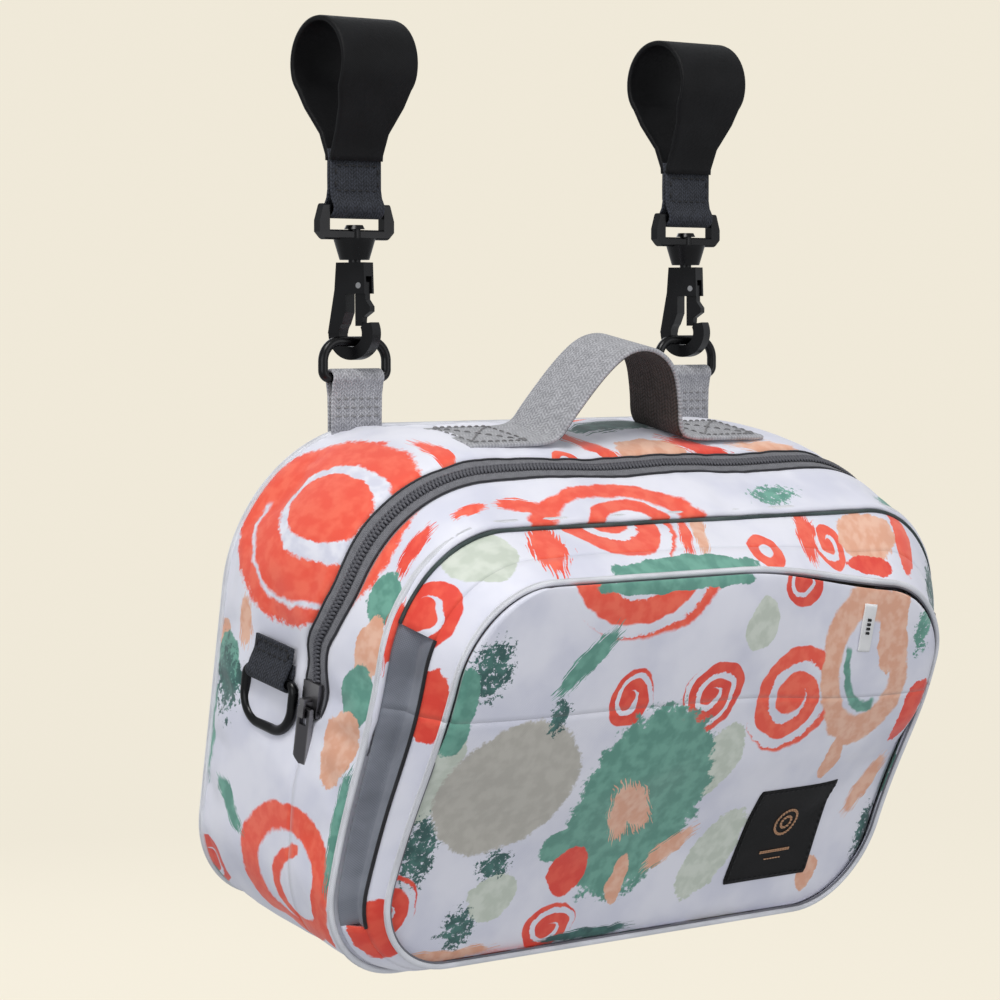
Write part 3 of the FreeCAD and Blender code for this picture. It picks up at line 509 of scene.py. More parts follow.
class Print(Finish):
    """Brush marks printed on the cloth; each motif is a mask painted over what is there."""

    def __init__(self, name, motifs, ground=GROUND):
        super().__init__(name, roughness=0.62, Sheen_Weight=0.25, Sheen_Roughness=0.5)
        point = self.cloth()
        self.fine = self.math("SUBTRACT", self.noise(point, 0.55, 3.0, 0.6), 0.5)
        self.rough = self.math("SUBTRACT", self.noise(point, 0.16, 2.0), 0.5)
        self.speck = self.noise(point, 0.42, 4.0, 0.75)
        drift = self.node("TexNoise", point)
        drift.inputs["Scale"].default_value = 0.07
        shift = self.node("VectorMath", drift.outputs["Color"], (0.5, 0.5, 0.5), operation="SUBTRACT")
        push = self.node("VectorMath", shift.outputs[0], (6, 6, 0), operation="MULTIPLY")
        self.point = self.node("VectorMath", point, push.outputs[0], operation="ADD").outputs[0]
        mottled = self.step(self.noise(point, 0.03, 3.0), 0.35, 0.7)
        colour = self.mix(mottled, ground, SHADE)
        for kind, paint, x, y, wide, tall, *more in motifs:
            turn, *shape = more or (0,)
            here = self.local(self.point, x, y, wide, tall, turn)
            mask = getattr(self, kind)(here, *shape)
            tone = self.mix(self.step(self.rough, -0.12, 0.14), *PAINTS[paint])
            colour = self.mix(mask, colour, tone)
        self.colour(colour)
        threads = self.weave(point, 0.75)
        self.bump(self.math("ADD", threads, self.fine), 0.35, 0.00012)

    def ragged(self, here, fine=0.12, rough=0.25):
        """Distance from the motif's middle, 1 at its rim, with a brushed outline."""
        edge = self.math("MULTIPLY_ADD", self.fine, fine, self.length(here))
        return self.math("MULTIPLY_ADD", self.rough, rough, edge)

    def disc(self, here):
        return self.step(self.ragged(here, 0.16, 0.1), 1.03, 0.97)

    def blot(self, here):
        return self.step(self.ragged(here, 0.3, 0.36), 1.04, 0.97)

    def stroke(self, here):
        """A dry brush stroke along the motif's width."""
        across = self.node("VectorMath", here, (1.2, 9, 1), operation="MULTIPLY").outputs[0]
        streak = self.math("SUBTRACT", self.noise(across, 1.0, 1.0), 0.5)
        edge = self.math("MULTIPLY_ADD", streak, 1.3, self.ragged(here, 0.3, 0.5))
        return self.step(edge, 1.02, 0.94)

    def stipple(self, here):
        near = self.step(self.ragged(here, 0.3, 0.9), 1.1, 0.3)
        dots = self.step(self.math("MULTIPLY_ADD", near, 0.24, self.speck), 0.62, 0.67)
        return self.math("MULTIPLY", dots, self.step(near, 0.02, 0.2))

    def swirl(self, here, turns=2.5, gap=0.34, core=0.2):
        """A spiral drawn with a loaded brush, round a filled core."""
        parts = self.node("SeparateXYZ", here).outputs
        angle = self.math("MULTIPLY", self.math("ARCTAN2", parts[1], parts[0]), 0.5 / math.pi)
        reach = self.ragged(here, 0.05, 0.05)
        coil = self.math("FRACT", self.math("MULTIPLY_ADD", reach, turns, angle))
        off = self.math("ABSOLUTE", self.math("SUBTRACT", coil, 0.5))
        off = self.math("MULTIPLY_ADD", self.fine, 0.16, off)
        band = self.step(off, gap / 2 - 0.03, gap / 2 + 0.03)
        filled = self.math("MAXIMUM", band, self.step(reach, core + 0.02, core - 0.02))
        return self.math("MULTIPLY", filled, self.step(reach, 1.02, 0.97))

    def ring(self, here, inner=0.6):
        reach = self.ragged(here, 0.06, 0.1)
        hole = self.step(reach, inner - 0.03, inner + 0.03)
        return self.math("MULTIPLY", self.step(reach, 1.02, 0.97), hole)

    def arc(self, here, inner, middle, spread):
        """The part of a ring within `spread` degrees of the direction `middle`."""
        toward = (math.cos(math.radians(middle)), math.sin(math.radians(middle)), 0)
        lean = self.node("VectorMath", here, toward, operation="DOT_PRODUCT").outputs["Value"]
        lean = self.math("DIVIDE", lean, self.length(here))
        limit = math.cos(math.radians(spread))
        return self.math("MULTIPLY", self.ring(here, inner), self.step(lean, limit - 0.04, limit + 0.04))


def woven(name, dark, light, pitch=1.6, roughness=0.75, relief=0.00035, sheen=0.2, gloss=0.5):
    """Ribbed polyester webbing: chevron ribs along the strap, with a little tone between threads."""
    finish = Finish(name, roughness=roughness, Sheen_Weight=sheen, Sheen_Roughness=0.6,
                    Specular_IOR_Level=gloss)
    point = finish.cloth()
    parts = finish.node("SeparateXYZ", point).outputs
    slant = finish.math("PINGPONG", parts[1], pitch * 1.5)
    along = finish.math("MULTIPLY_ADD", slant, 0.9, parts[0])
    rib = finish.math("SINE", finish.math("MULTIPLY", along, 2 * math.pi / pitch))
    cord = finish.math("SINE", finish.math("MULTIPLY", parts[1], 2 * math.pi / (pitch * 0.8)))
    height = finish.math("MULTIPLY_ADD", rib, 0.3, finish.math("MULTIPLY", cord, 0.25))
    half_height = finish.math("MULTIPLY", height, 0.5)
    tone = finish.math("MULTIPLY_ADD", finish.noise(point, 0.35, 3.0), 0.8, half_height)
    finish.colour(finish.mix(finish.step(tone, 0.05, 0.85), srgb(*dark), srgb(*light)))
    finish.bump(height, 0.8, relief)
    return finish.material


def plain_cloth(name, dark, light, pitch=0.9, roughness=0.8, relief=0.0002, sheen=0.3, gloss=0.5):
    finish = Finish(name, roughness=roughness, Sheen_Weight=sheen, Sheen_Roughness=0.5,
                    Specular_IOR_Level=gloss)
    point = finish.cloth()
    tone = finish.math("ADD", finish.noise(point, 0.05, 3.0), finish.weave(point, pitch, 0.12))
    finish.colour(finish.mix(finish.step(tone, 0.3, 0.7), srgb(*dark), srgb(*light)))
    finish.bump(finish.math("ADD", finish.weave(point, pitch), finish.noise(point, 0.6, 2.0)), 0.6, relief)
    return finish.material


def moulded(name, colour, worn, roughness, metallic=0.0, **sockets):
    """Moulded plastic or cast metal: a fine grain, uneven gloss and slightly rubbed high spots."""
    finish = Finish(name, roughness=roughness, metallic=metallic, **sockets)
    point = finish.place()
    grain = finish.noise(point, 2600.0, 3.0)
    patch = finish.noise(point, 90.0, 3.0)
    rubbed = finish.step(finish.node("NewGeometry").outputs["Pointiness"], 0.53, 0.62)
    finish.colour(finish.mix(finish.math("MULTIPLY", rubbed, patch), srgb(*colour), srgb(*worn)))
    finish.feed("Roughness", finish.math("MULTIPLY_ADD", patch, 0.2, roughness - 0.1))
    finish.bump(grain, 0.12, 0.00004)
    return finish.material


# ---- the print's motifs: kind, paint, middle, half sizes and turn, in millimetres on the cloth ----

SHELL_MOTIFS = [
    # left side
    ("disc", "coral", -143, -40, 42, 40), ("arc", "white", -144, -42, 34, 33, 0, 0.93, 150, 60),
    ("disc", "white", -138, -44, 21, 24), ("disc", "coral", -138, -41, 15, 18),
    ("stroke", "coral", -93, -55, 13, 4, 95), ("stroke", "peach", -190, -20, 10, 4, 10),
    ("blot", "peach", -200, -5, 7, 5), ("blot", "teal", -210, -11, 13, 10),
    ("stipple", "pine", -216, -12, 19, 15), ("ring", "coral", -279, -66, 29, 33, 0, 0.62),
    ("arc", "coral", -282, -74, 18, 20, 0, 0.75, 120, 110), ("blot", "coral", -292, -88, 15, 6),
    ("swirl", "red", -293, -5, 12, 11, 0, 1.5, 0.3, 0.4), ("stroke", "teal", -263, -23, 14, 4, 50),
    ("stroke", "teal", -240, -2, 18, 3), ("stroke", "pine", -308, -3, 12, 4),
    # in front of the zipper, down the left side
    ("stroke", "red", -132, -88, 14, 4, 8), ("blot", "teal", -157, -88, 12, 9),
    ("stroke", "red", -168, -98, 16, 4), ("blot", "peach", -180, -90, 15, 6),
    ("blot", "teal", -200, -89, 13, 7), ("blot", "peach", -222, -86, 16, 9),
    ("stroke", "teal", -252, -97, 24, 4),
    # top and front slope
    ("stroke", "coral", -99, -88, 9, 3), ("stroke", "coral", -73, -90, 12, 4, -15),
    ("ring", "coral", -34, -106, 40, 27, 0, 0.72), ("ring", "coral", -30, -106, 20, 18, 0, 0.6),
    ("stipple", "teal", 45, -90, 16, 7), ("stroke", "coral", -15, -52, 14, 5, -54),
    ("ring", "coral", -35, -60, 8, 6, 0, 0.5), ("blot", "peach", 12, -55, 18, 7),
    ("stroke", "red", 42, -56, 18, 6, -25), ("stroke", "coral", 20, -8, 13, 5),
    ("stroke", "pine", 18, -33, 27, 8), ("stroke", "peach", 75, -55, 16, 4, -10),
    # right side
    ("disc", "coral", 150, -44, 34, 35), ("disc", "white", 146, -43, 20, 22),
    ("disc", "coral", 146, -42, 12, 14), ("blot", "teal", 206, -28, 15, 20, 30),
    ("stipple", "pine", 226, -74, 20, 18), ("swirl", "red", 262, -38, 20, 20, 0, 2.2),
    ("blot", "peach", 196, -86, 13, 8), ("disc", "beige", 286, -82, 16, 15),
    ("stroke", "teal", 122, -88, 20, 4, 10),
    # bottom
    ("swirl", "coral", -365, -48, 28, 28, 0, 2.0), ("disc", "beige", 352, -50, 26, 26),
    ("blot", "teal", 412, -60, 24, 20, 40), ("stroke", "peach", -410, -25, 18, 6, 20),
    # back
    ("swirl", "coral", -86, -1058, 33, 33, 0, 2.2), ("blot", "teal", 18, -1112, 32, 44, 20),
    ("stroke", "peach", 22, -1112, 18, 6, -60), ("disc", "beige", 88, -1066, 29, 29),
    ("swirl", "red", 98, -1138, 21, 21, 0, 2.4), ("swirl", "red", -32, -1164, 16, 16, 0, 1.8),
    ("stroke", "teal", -62, -1122, 20, 6, 45), ("stipple", "pine", -108, -1134, 18, 22),
    ("stroke", "peach", -4, -1048, 22, 8, 30), ("stipple", "pine", 52, -1172, 20, 10),
    ("disc", "sage", -30, -1078, 12, 12), ("stroke", "coral", 40, -1034, 26, 7, -12),
    ("blot", "teal", -116, -1078, 12, 22), ("stroke", "teal", 62, -1090, 8, 4, 70),
    ("ring", "coral", 128, -1100, 14, 20, 0, 0.55), ("blot", "peach", 62, -1150, 6, 12),
    ("stroke", "red", -88, -1178, 18, 5, 8), ("disc", "coral", -60, -1024, 22, 14),
    ("disc", "beige", -66, -1152, 12, 12), ("stroke", "pine", 112, -1168, 16, 5, 20),
]
POCKET_MOTIFS = [
    # panel
    ("disc", "sage", 15, -51, 9, 11), ("blot", "sage", 12, -113, 12, 18, -15),
    ("blot", "sage", 34, -158, 12, 22, -20), ("blot", "sage", -79, -165, 11, 11),
    ("blot", "sage", -126, -108, 8, 20), ("swirl", "coral", -50, -24, 40, 30, 0, 2.0, 0.3, 0.2),
    ("stroke", "teal", -73, -61, 18, 5, 46), ("stipple", "pine", -119, -62, 13, 17),
    ("blot", "teal", -128, -80, 7, 19), ("stipple", "pine", -121, -140, 11, 22),
    ("disc", "beige", -92, -114, 31, 30), ("stipple", "pine", -81, -84, 7, 11),
    ("stipple", "pine", -83, -150, 10, 8), ("stipple", "pine", -92, -177, 11, 12),
    ("swirl", "red", -46, -79, 11, 13, 0, 1.7, 0.34, 0.25),
    ("swirl", "red", -4, -81, 16, 17, 0, 2.3, 0.36, 0.2),
    ("swirl", "coral", 43, -84, 24, 25, 0, 2.1, 0.36, 0.28), ("blot", "teal", -21, -128, 34, 45, 10),
    ("blot", "teal", -50, -143, 14, 8, 20), ("stroke", "peach", -29, -131, 16, 6, -62),
    ("stroke", "peach", -20, -130, 15, 6, -50), ("blot", "peach", -14, -165, 5, 11),
    ("stroke", "peach", 9, -153, 13, 5, 40), ("disc", "red", -44, -157, 10, 12),
    ("swirl", "red", -44, -183, 13, 12, 0, 1.7, 0.34, 0.25),
    ("swirl", "red", -130, -165, 15, 15, 0, 1.7, 0.3, 0.3), ("ring", "peach", 84, -70, 28, 41, 12, 0.6),
    ("blot", "peach", 98, -50, 9, 22), ("arc", "teal", 90, -62, 21, 31, 0, 0.8, 230, 55),
    ("blot", "red", 122, -95, 7, 18, -8), ("stroke", "peach", 117, -136, 15, 5, 62),
    ("blot", "peach", 81, -116, 5, 11), ("blot", "peach", 98, -176, 5, 9),
    ("stipple", "pine", 127, -160, 7, 18), ("stipple", "teal", 118, -50, 7, 16),
    ("swirl", "red", 37, -33, 12, 11, 0, 1.5, 0.3, 0.3), ("stroke", "peach", -96, -189, 26, 3),
    ("stroke", "pine", -22, -189, 24, 3), ("blot", "teal", -34, -32, 40, 4),
    # band and rim, from the left corner over the top
    ("blot", "red", -163, 1005, 15, 6), ("blot", "red", -258, 1003, 15, 8),
    ("swirl", "red", -134, 1019, 12, 13, 0, 1.5, 0.3, 0.35), ("disc", "sage", -109, 1020, 12, 12),
    ("stroke", "coral", -83, 1017, 15, 8, 60), ("swirl", "coral", -42, 1031, 28, 26, 0, 1.9, 0.34, 0.3),
    ("stroke", "coral", -12, 1020, 14, 3, 60), ("stroke", "peach", -4, 1020, 14, 3, 60),
    ("ring", "coral", 23, 1009, 9, 9, 0, 0.4), ("stroke", "coral", 52, 1017, 13, 5, 75),
    ("swirl", "coral", 63, 1014, 9, 11, 0, 1.4), ("blot", "peach", 86, 1017, 16, 10),
    ("blot", "coral", 107, 1018, 5, 13), ("blot", "red", 84, 1006, 14, 4),
    ("blot", "teal", -25, 1003, 38, 5),
    # band and rim, down the right side and along the bottom
    ("stipple", "pine", 132, 1014, 12, 12), ("blot", "red", 172, 1004, 15, 6),
    ("blot", "teal", 214, 1005, 16, 6), ("disc", "beige", 340, 1012, 22, 14),
    ("swirl", "coral", -330, 1010, 22, 18, 0, 1.8), ("blot", "teal", 400, 1008, 22, 9),
]

print_shell = Print("print_shell", SHELL_MOTIFS).material
print_pocket = Print("print_pocket", POCKET_MOTIFS).material
slate = plain_cloth("slate_cloth", (98, 102, 112), (130, 134, 144), 0.8)
white_welt = plain_cloth("white_welt", (206, 207, 212), (232, 233, 238), 0.9)
grey_web = woven("grey_webbing", (134, 134, 138), (184, 184, 188))
dark_web = woven("dark_webbing", (26, 28, 33), (56, 59, 68), sheen=0.05, gloss=0.25)
# dark webbing colour for the strip inside the handle's arch: painted shade of the arch's inner face
arch_shade_web = woven("handle_underside_painted_shade", (52, 45, 42), (84, 74, 70), sheen=0.05, gloss=0.3)
# near-black colour for the cord where the bellows meet the rim: painted shade of that crease
bellows_crease_shadow = plain_cloth("bellows_crease_painted_shadow", (18, 18, 21), (40, 40, 44), 0.8, sheen=0.05)
# grey colour for the line inside the panel's piping: painted shadow beside the piping
piping_shadow_cloth = plain_cloth("seam_shadow", (96, 96, 104), (130, 130, 138), 0.8, sheen=0.05)
# dark green-grey colour for the cord along the pocket's mouth: painted shadow in the mouth's gap
mouth_shadow_cloth = plain_cloth("mouth_painted_shadow", (40, 52, 52), (76, 90, 88), 0.8, sheen=0.05)
label_cloth = plain_cloth("label_cloth", (8, 8, 9), (20, 19, 20), 0.7, 0.6, sheen=0.0, gloss=0.25)
tag_cloth = plain_cloth("tag_cloth", (226, 226, 226), (244, 244, 244), 0.6)
cuff_cloth = plain_cloth("black_cuff", (4, 4, 5), (14, 14, 16), 0.8, 0.5, sheen=0.0, gloss=0.2)
fuzzy = plain_cloth("hook_and_loop", (14, 14, 15), (36, 36, 38), 1.3, 0.95, 0.0006)
tape_cloth = woven("zipper_tape", (92, 92, 98), (124, 124, 130), 0.9)
teeth_plastic = moulded("zipper_teeth", (82, 82, 88), (116, 114, 120), 0.5)
lining_cloth = plain_cloth("lining", (186, 188, 192), (206, 208, 212), 0.8, 0.6)
elastic_web = woven("elastic", (120, 122, 128), (176, 178, 182), 1.1)
board_cloth = plain_cloth("board_cover", (150, 152, 156), (172, 174, 178), 1.0)
black_plastic = moulded("black_plastic", (2, 2, 3), (16, 16, 18), 0.28, Specular_IOR_Level=0.32)
pin_steel = moulded("pin_steel", (150, 150, 152), (190, 190, 190), 0.3, 1.0)
gunmetal = moulded("gunmetal", (96, 94, 97), (170, 168, 168), 0.28, 1.0)
gold = moulded("gold_thread", (196, 152, 118), (226, 190, 160), 0.5, 0.3)
thread_grey = moulded("grey_thread", (128, 127, 128), (160, 160, 160), 0.7)
thread_black = moulded("black_thread", (26, 26, 28), (60, 60, 62), 0.7)
# dark colour for the lines beside the zipper's tapes: painted shadow along the fabric lips
zip_lip_shadow_paint = moulded("zipper_lip_painted_shadow", (54, 54, 58), (84, 84, 88), 0.7)

# ---- the shell ----------------------------------------------------------------------------------

around = np.arange(LOOP)
FORM_ROWS = 37
FORM_ZIP_ROW = 24  # the row that the zipper pins
SHELL_SHIFT = np.zeros((2, LOOP, 3))
form_depth = np.linspace(0, FRONT, FORM_ROWS)
form = shell_form(np.broadcast_to(around, (FORM_ROWS, LOOP)), np.repeat(form_depth[:, None], LOOP, 1))
on_zip = REAR_LOOP[:, 1] > ZIP_END
pinned = np.zeros((FORM_ROWS, LOOP), bool)
pinned[[0, -1]] = True
pinned[FORM_ZIP_ROW, on_zip] = True
sewn_tabs = near(form_depth[:, None], TAB_DEPTH, 18) * near(REAR_LOOP[:, 1], -79, 17)
sewn_tabs = sewn_tabs * np.abs(REAR_NORMAL[:, 0])
SHELL_SHIFT = (swell(form, pinned, True, 3.0, 0.012, 2.5) - form) * (1 - 0.85 * sewn_tabs)[..., None]

below_zip = smooth(-REAR_LOOP[:, 1], 95, 100)
rear_edge = ZIP + ZIP_LIP * (1 - below_zip)
front_edge = ZIP - ZIP_LIP * (1 - below_zip)


def gusset(name, start, stop, count):
    """A printed band between two depths, which may differ round the loop; it dips at the zipper."""
    part = np.linspace(0, 1, count)[:, None]
    depth = start * (1 - part) + stop * part
    lip = np.where(np.isclose(depth, rear_edge) | np.isclose(depth, front_edge), -1.3, 0.0)
    points = shell_point(np.broadcast_to(around, depth.shape), depth, lip * (1 - below_zip))
    chart = np.stack([np.broadcast_to(SHELL_RUN, depth.shape), depth], -1)
    return thicken(grid(name, points, chart, closed=True, flip=True), SHELL_SKIN)


def across_fold(piece):
    """Bakes a piece's transform into its mesh."""
    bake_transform(piece)
    return piece


def over_fold(piece):
    """Bakes the transform of a piece of the front half, through across_fold."""
    return across_fold(piece)


rear = gusset("rear_gusset_cloth", np.zeros(LOOP), rear_edge, 26)
finish_piece(rear, print_shell, "printed_fabric", "rear_gusset", "bottom_gusset", body="bag")
ahead = gusset("front_gusset_cloth", front_edge, np.full(LOOP, FRONT + 0.6), 14)
over_fold(finish_piece(ahead, print_shell, "printed_fabric", "front_gusset"))


def face(outline, depth, crown, soft):
    """Rows x columns of a panel: flat at its outline, crowned and a little uneven inside it."""
    level, reach = side_rows(**outline)
    u = reach[:, None] * np.linspace(-1, 1, COLUMNS + 1)
    w = np.repeat(level[:, None], COLUMNS + 1, 1)
    return panel_point(u, w, outline, depth, crown, soft)


def panel_point(u, w, outline, depth, crown, soft, proud=0.0):
    middle = (outline["top"] + outline["low"]) / 2
    tall = (outline["top"] - outline["low"]) / 2
    fill = np.clip((1 - (u / outline["half"]) ** 2) * (1 - ((w - middle) / tall) ** 2), 0, 1)
    full = fill ** 0.55
    seam = np.minimum(outline["half"] - np.abs(u), tall - np.abs(w - middle))
    pucker = 0.35 * waves(u, w, 11, 16) * np.clip(seam / 5, 0, 1) * np.exp(-np.maximum(seam, 0) / 14)
    way = np.sign(crown)
    v = depth(w) + (crown + way * soft * (waves(u, w, 46, 8) + pucker)) * full + way * proud
    return np.stack([u, v, w], -1)


def flat_panel(name, outline, depth, crown, soft, thickness, flip=False, far=0):
    """A panel piece, with its chart as it is seen from the front, shifted down by `far`."""
    points = face(outline, lambda w: 0 * w + depth, crown, soft)
    return thicken(grid(name, points, points[..., [0, 2]] + [0, -far], flip=flip), thickness)


back = flat_panel("back_panel_cloth", REAR_OUTLINE, 0, 4.0, 0.8, SHELL_SKIN, far=1000)
finish_piece(back, print_shell, "printed_fabric", "back_panel", body="bag")
front = flat_panel("front_panel_cloth", FRONT_OUTLINE, FRONT + 0.8, -0.1, 0.1, 1.6, flip=True, far=1000)
over_fold(finish_piece(front, print_shell, "printed_fabric", "front_panel_upper", "front_panel_lower"))


def seam_path(ring, depth, out):
    line = ring + outward(ring) * out
    return np.insert(line, 1, depth, axis=1)


front_welt = tube("front_seam_piping", seam_path(FRONT_LOOP, -98.8, 0.5), 1.45)
over_fold(finish_piece(front_welt, white_welt, "white_binding", "front_piping_upper", "front_piping_lower"))
back_welt = tube("back_seam_piping", seam_path(REAR_LOOP, -0.2, 0.3), 1.4)
finish_piece(back_welt, white_welt, "white_binding", "back_piping", body="bag")

# ---- the zipper ---------------------------------------------------------------------------------

zip_row = FOLD_ROW + int(np.sum(side_rows(**REAR_OUTLINE)[0][FOLD_ROW + 1:] > ZIP_END - 1))
arch = np.concatenate([np.arange(LOOP - zip_row, LOOP), np.arange(0, COLUMNS + zip_row + 1)])
arch_run = SHELL_RUN[arch]


def along_zipper(depth, proud):
    return shell_point(arch, np.full(len(arch), depth), np.full(len(arch), proud))


def tape(name, start, stop):
    depth = np.linspace(start, stop, 5)
    points = np.stack([along_zipper(*row) for row in zip(depth, (-1.6, -1.0, -0.8, -0.8, -1.2))])
    chart = np.stack(np.broadcast_arrays(arch_run[None], depth[:, None]), -1)
    return thicken(grid(name, points, chart, flip=start > stop), 0.5)


def teeth(name, start, stop, shift, pitch=1.7):
    """One row of zipper teeth: short rounded bars across the line of the zipper."""
    ends = [along_zipper(depth, -0.35) for depth in (start, stop)]
    runs = []
    for where in np.arange(arch_run[0] + 1 + shift, arch_run[-1] - 1, pitch):
        pair = [[np.interp(where, arch_run, end[:, axis]) for axis in range(3)] for end in ends]
        normal = [np.interp(where, arch_run, REAR_NORMAL[arch, axis]) for axis in range(2)]
        runs.append((pair, (normal[0], 0, normal[1])))
    return stitches(name, runs, thread=0.62, length=abs(stop - start), gap=0)


for name, side, shift, ends in (("rear", 1, 0.0, ("zipper_end_left", "zipper_end_right")),
                                ("front", -1, 0.85, ())):
    strip = tape(f"zipper_tape_{name}_cloth", ZIP + side * 7.6, ZIP + side * 0.5)
    row = teeth(f"zipper_teeth_{name}_row", ZIP + side * 2.2, ZIP + side * -0.7, shift)
    # a thin dark tube beside each tape: painted shadow of the fabric lip over the zipper
    seam = tube(f"zipper_lip_shadow_{name}", along_zipper(ZIP + side * 6.4, -0.75), 0.4, 6, closed=False)
    finish_piece(strip, tape_cloth, "zipper_tape", f"zipper_tape_{name}", *ends)
    finish_piece(row, teeth_plastic, "zipper_teeth", f"zipper_teeth_{name}")
    finish_piece(seam, zip_lip_shadow_paint, "zipper_tape")
    for piece in (strip, row, seam):
        over_fold(piece) if side < 0 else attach(piece, "bag")

# ---- the front pocket ---------------------------------------------------------------------------

HALVES = (("upper", "pocket"), ("lower", "bag"))


def panel_plane(w):
    return REACH - w * LEAN


PANEL_CROWN = dict(outline=PANEL_OUTLINE, depth=panel_plane, crown=-5.0, soft=1.5)
panel_points = face(**PANEL_CROWN)
edge = np.zeros(panel_points.shape[:2], bool)
edge[[0, -1]] = True
edge[:, [0, -1]] = True
panel_points = swell(panel_points, edge, False, 2.0, 0.006, 3.0)
panel_chart = panel_points[..., [0, 2]]


def on_panel(u, w, proud):
    """A point of the crowned panel's outside."""
    shaped = panel_point(u, w, proud=proud, **PANEL_CROWN)
    level = panel_points[:, COLUMNS // 2, 2]
    row = np.interp(-w, -level, np.arange(ROWS + 1))
    reach = np.interp(-w, -level, panel_points[:, -1, 0])
    column = (np.asarray(u) / reach + 1) / 2 * COLUMNS
    low, left = np.clip(row.astype(int), 0, ROWS - 1), np.clip(column.astype(int), 0, COLUMNS - 1)
    down, right = row - low, column - left
    depth = panel_points[..., 1]
    value = ((depth[low, left] * (1 - right) + depth[low, left + 1] * right) * (1 - down)
             + (depth[low + 1, left] * (1 - right) + depth[low + 1, left + 1] * right) * down)
    shaped[..., 1] = value - proud
    return shaped


for (name, body), rows in zip(HALVES, (slice(0, FOLD_ROW + 1), slice(FOLD_ROW, None))):
    half = grid(f"pocket_panel_{name}_cloth", panel_points[rows], panel_chart[rows], flip=True)
    finish_piece(thicken(half, 1.8), print_pocket, "printed_fabric", f"pocket_panel_{name}", body=body)


def pocket_point(index, part, proud=0.0):
    """A point of the pocket's walls, from the front seam at part 0 to the panel's edge at part 1."""
    rear_ring = np.stack([POCKET_LOOP[:, 0], np.full(LOOP, FRONT - 1.3), POCKET_LOOP[:, 1]], 1)
    ring = PANEL_LOOP + outward(PANEL_LOOP) * 0.6
    front_ring = np.stack([ring[:, 0], panel_plane(ring[:, 1]), ring[:, 1]], 1)
    index, part = np.broadcast_arrays(index, np.asarray(part, float))
    normal = outward(PANEL_LOOP)[index]
    normal = np.stack([normal[..., 0], np.zeros(part.shape), normal[..., 1]], -1)
    run = POCKET_RUN[index]
    bulge = np.sin(math.pi * np.clip(part, 0, 1)) * (1.2 + 0.8 * waves(run, part * 25, 26, 12))
    base = rear_ring[index] * (1 - part[..., None]) + front_ring[index] * part[..., None]
    return base + (bulge + proud)[..., None] * normal


def wall(name, indexes, start, stop, count, tuck=0.0):
    """A strip of the pocket's wall, tucked in along its middle; its chart runs round the panel and back."""
    part = np.linspace(start, stop, count)[:, None] * np.ones(len(indexes))
    inward = -tuck * (1 - np.abs(2 * part / rim_start - 1))
    points = pocket_point(np.broadcast_to(indexes, part.shape), part, inward)
    depth = pocket_point(indexes, np.ones(len(indexes)))[:, 1] - points[..., 1]
    chart = np.stack([np.broadcast_to(POCKET_RUN[indexes], part.shape), 1000 - depth], -1)
    return thicken(grid(name, points, chart, flip=True), 1.4)


def side_index(side, row):
    return (LOOP - row) % LOOP if side < 0 else COLUMNS + row


pocket_level = side_rows(**POCKET_OUTLINE)[0]
band_row = int(np.argmax(pocket_level < BELLOWS_TOP))
low_row = int(np.argmax(pocket_level < BELLOWS_LOW))
rim_start = 1 - RIM / POCKET_DEPTH
over_top = np.concatenate([np.arange(LOOP - band_row, LOOP), np.arange(0, COLUMNS + band_row + 1)])
upper_half = np.concatenate([np.arange(LOOP - FOLD_ROW, LOOP), np.arange(0, COLUMNS + FOLD_ROW + 1)])
lower_half = np.arange(COLUMNS + FOLD_ROW, LOOP - FOLD_ROW + 1)
under = np.arange(COLUMNS + low_row, LOOP - low_row + 1)


def printed_wall(name, indexes, start, stop, count, body, *nodes):
    finish_piece(wall(name, indexes, start, stop, count), print_pocket, "printed_fabric", *nodes, body=body)


def cord(name, path, radius, material, slot, body, *nodes):
    finish_piece(tube(name, path, radius, closed=False), material, slot, *nodes, body=body)


printed_wall("pocket_band_cloth", over_top, 0.0, rim_start, 12, "pocket", "pocket_band")
printed_wall("pocket_bottom_cloth", under, 0.0, rim_start, 12, "bag", "pocket_bottom")
for side_name, side in SIDES.items():
    for (name, body), first, last in zip(HALVES, (band_row, FOLD_ROW), (FOLD_ROW, low_row)):
        indexes = side_index(side, np.arange(first, last + 1))
        piece = wall(f"pocket_bellows_{name}_{side_name}", indexes[::side], 0.0, rim_start, 13, BELLOWS_TUCK)
        finish_piece(piece, slate, "slate_fabric", f"pocket_side_{name}_{side_name}")
        if name == "upper":
            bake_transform(piece)
        else:
            across_fold(piece)
        # a dark cord along the bellows' front edge: painted shade of the crease between bellows and rim
        line = pocket_point(indexes, np.full(len(indexes), rim_start), 0.1)
        cord(f"bellows_edge_{name}_{side_name}", line, 0.75, bellows_crease_shadow, "slate_fabric", body)

panel_seam = pocket_point(around, np.ones(LOOP), 0.3)
# a thin dark tube just inside the piping: painted shadow where the piping meets the panel
panel_piping_shadow = panel_seam - np.insert(outward(PANEL_LOOP), 1, 0, axis=1) * 1.5 + [0, -0.15, 0]
for (name, body), indexes in zip(HALVES, (upper_half, lower_half)):
    printed_wall(f"pocket_rim_{name}", indexes, rim_start, 1.0, 5, body)
    cord(f"pocket_piping_{name}_cord", panel_seam[indexes], 1.25, white_welt, "white_binding", body,
         f"pocket_piping_{name}")
    cord(f"panel_piping_shadow_{name}", panel_piping_shadow[indexes], 0.45, piping_shadow_cloth, "printed_fabric", body)
# a dark cord along the pocket's mouth: painted shadow of the gap between the band and the bag's front
mouth = pocket_point(over_top, np.full(len(over_top), 0.03), 0.5)
cord("pocket_mouth_painted_shadow", mouth, 0.8, mouth_shadow_cloth, "dark_webbing", "pocket")

# ---- label and side tag -------------------------------------------------------------------------

LABEL, TAG = (72, -153), (80, -50)
AHEAD = (0, -1, 0)


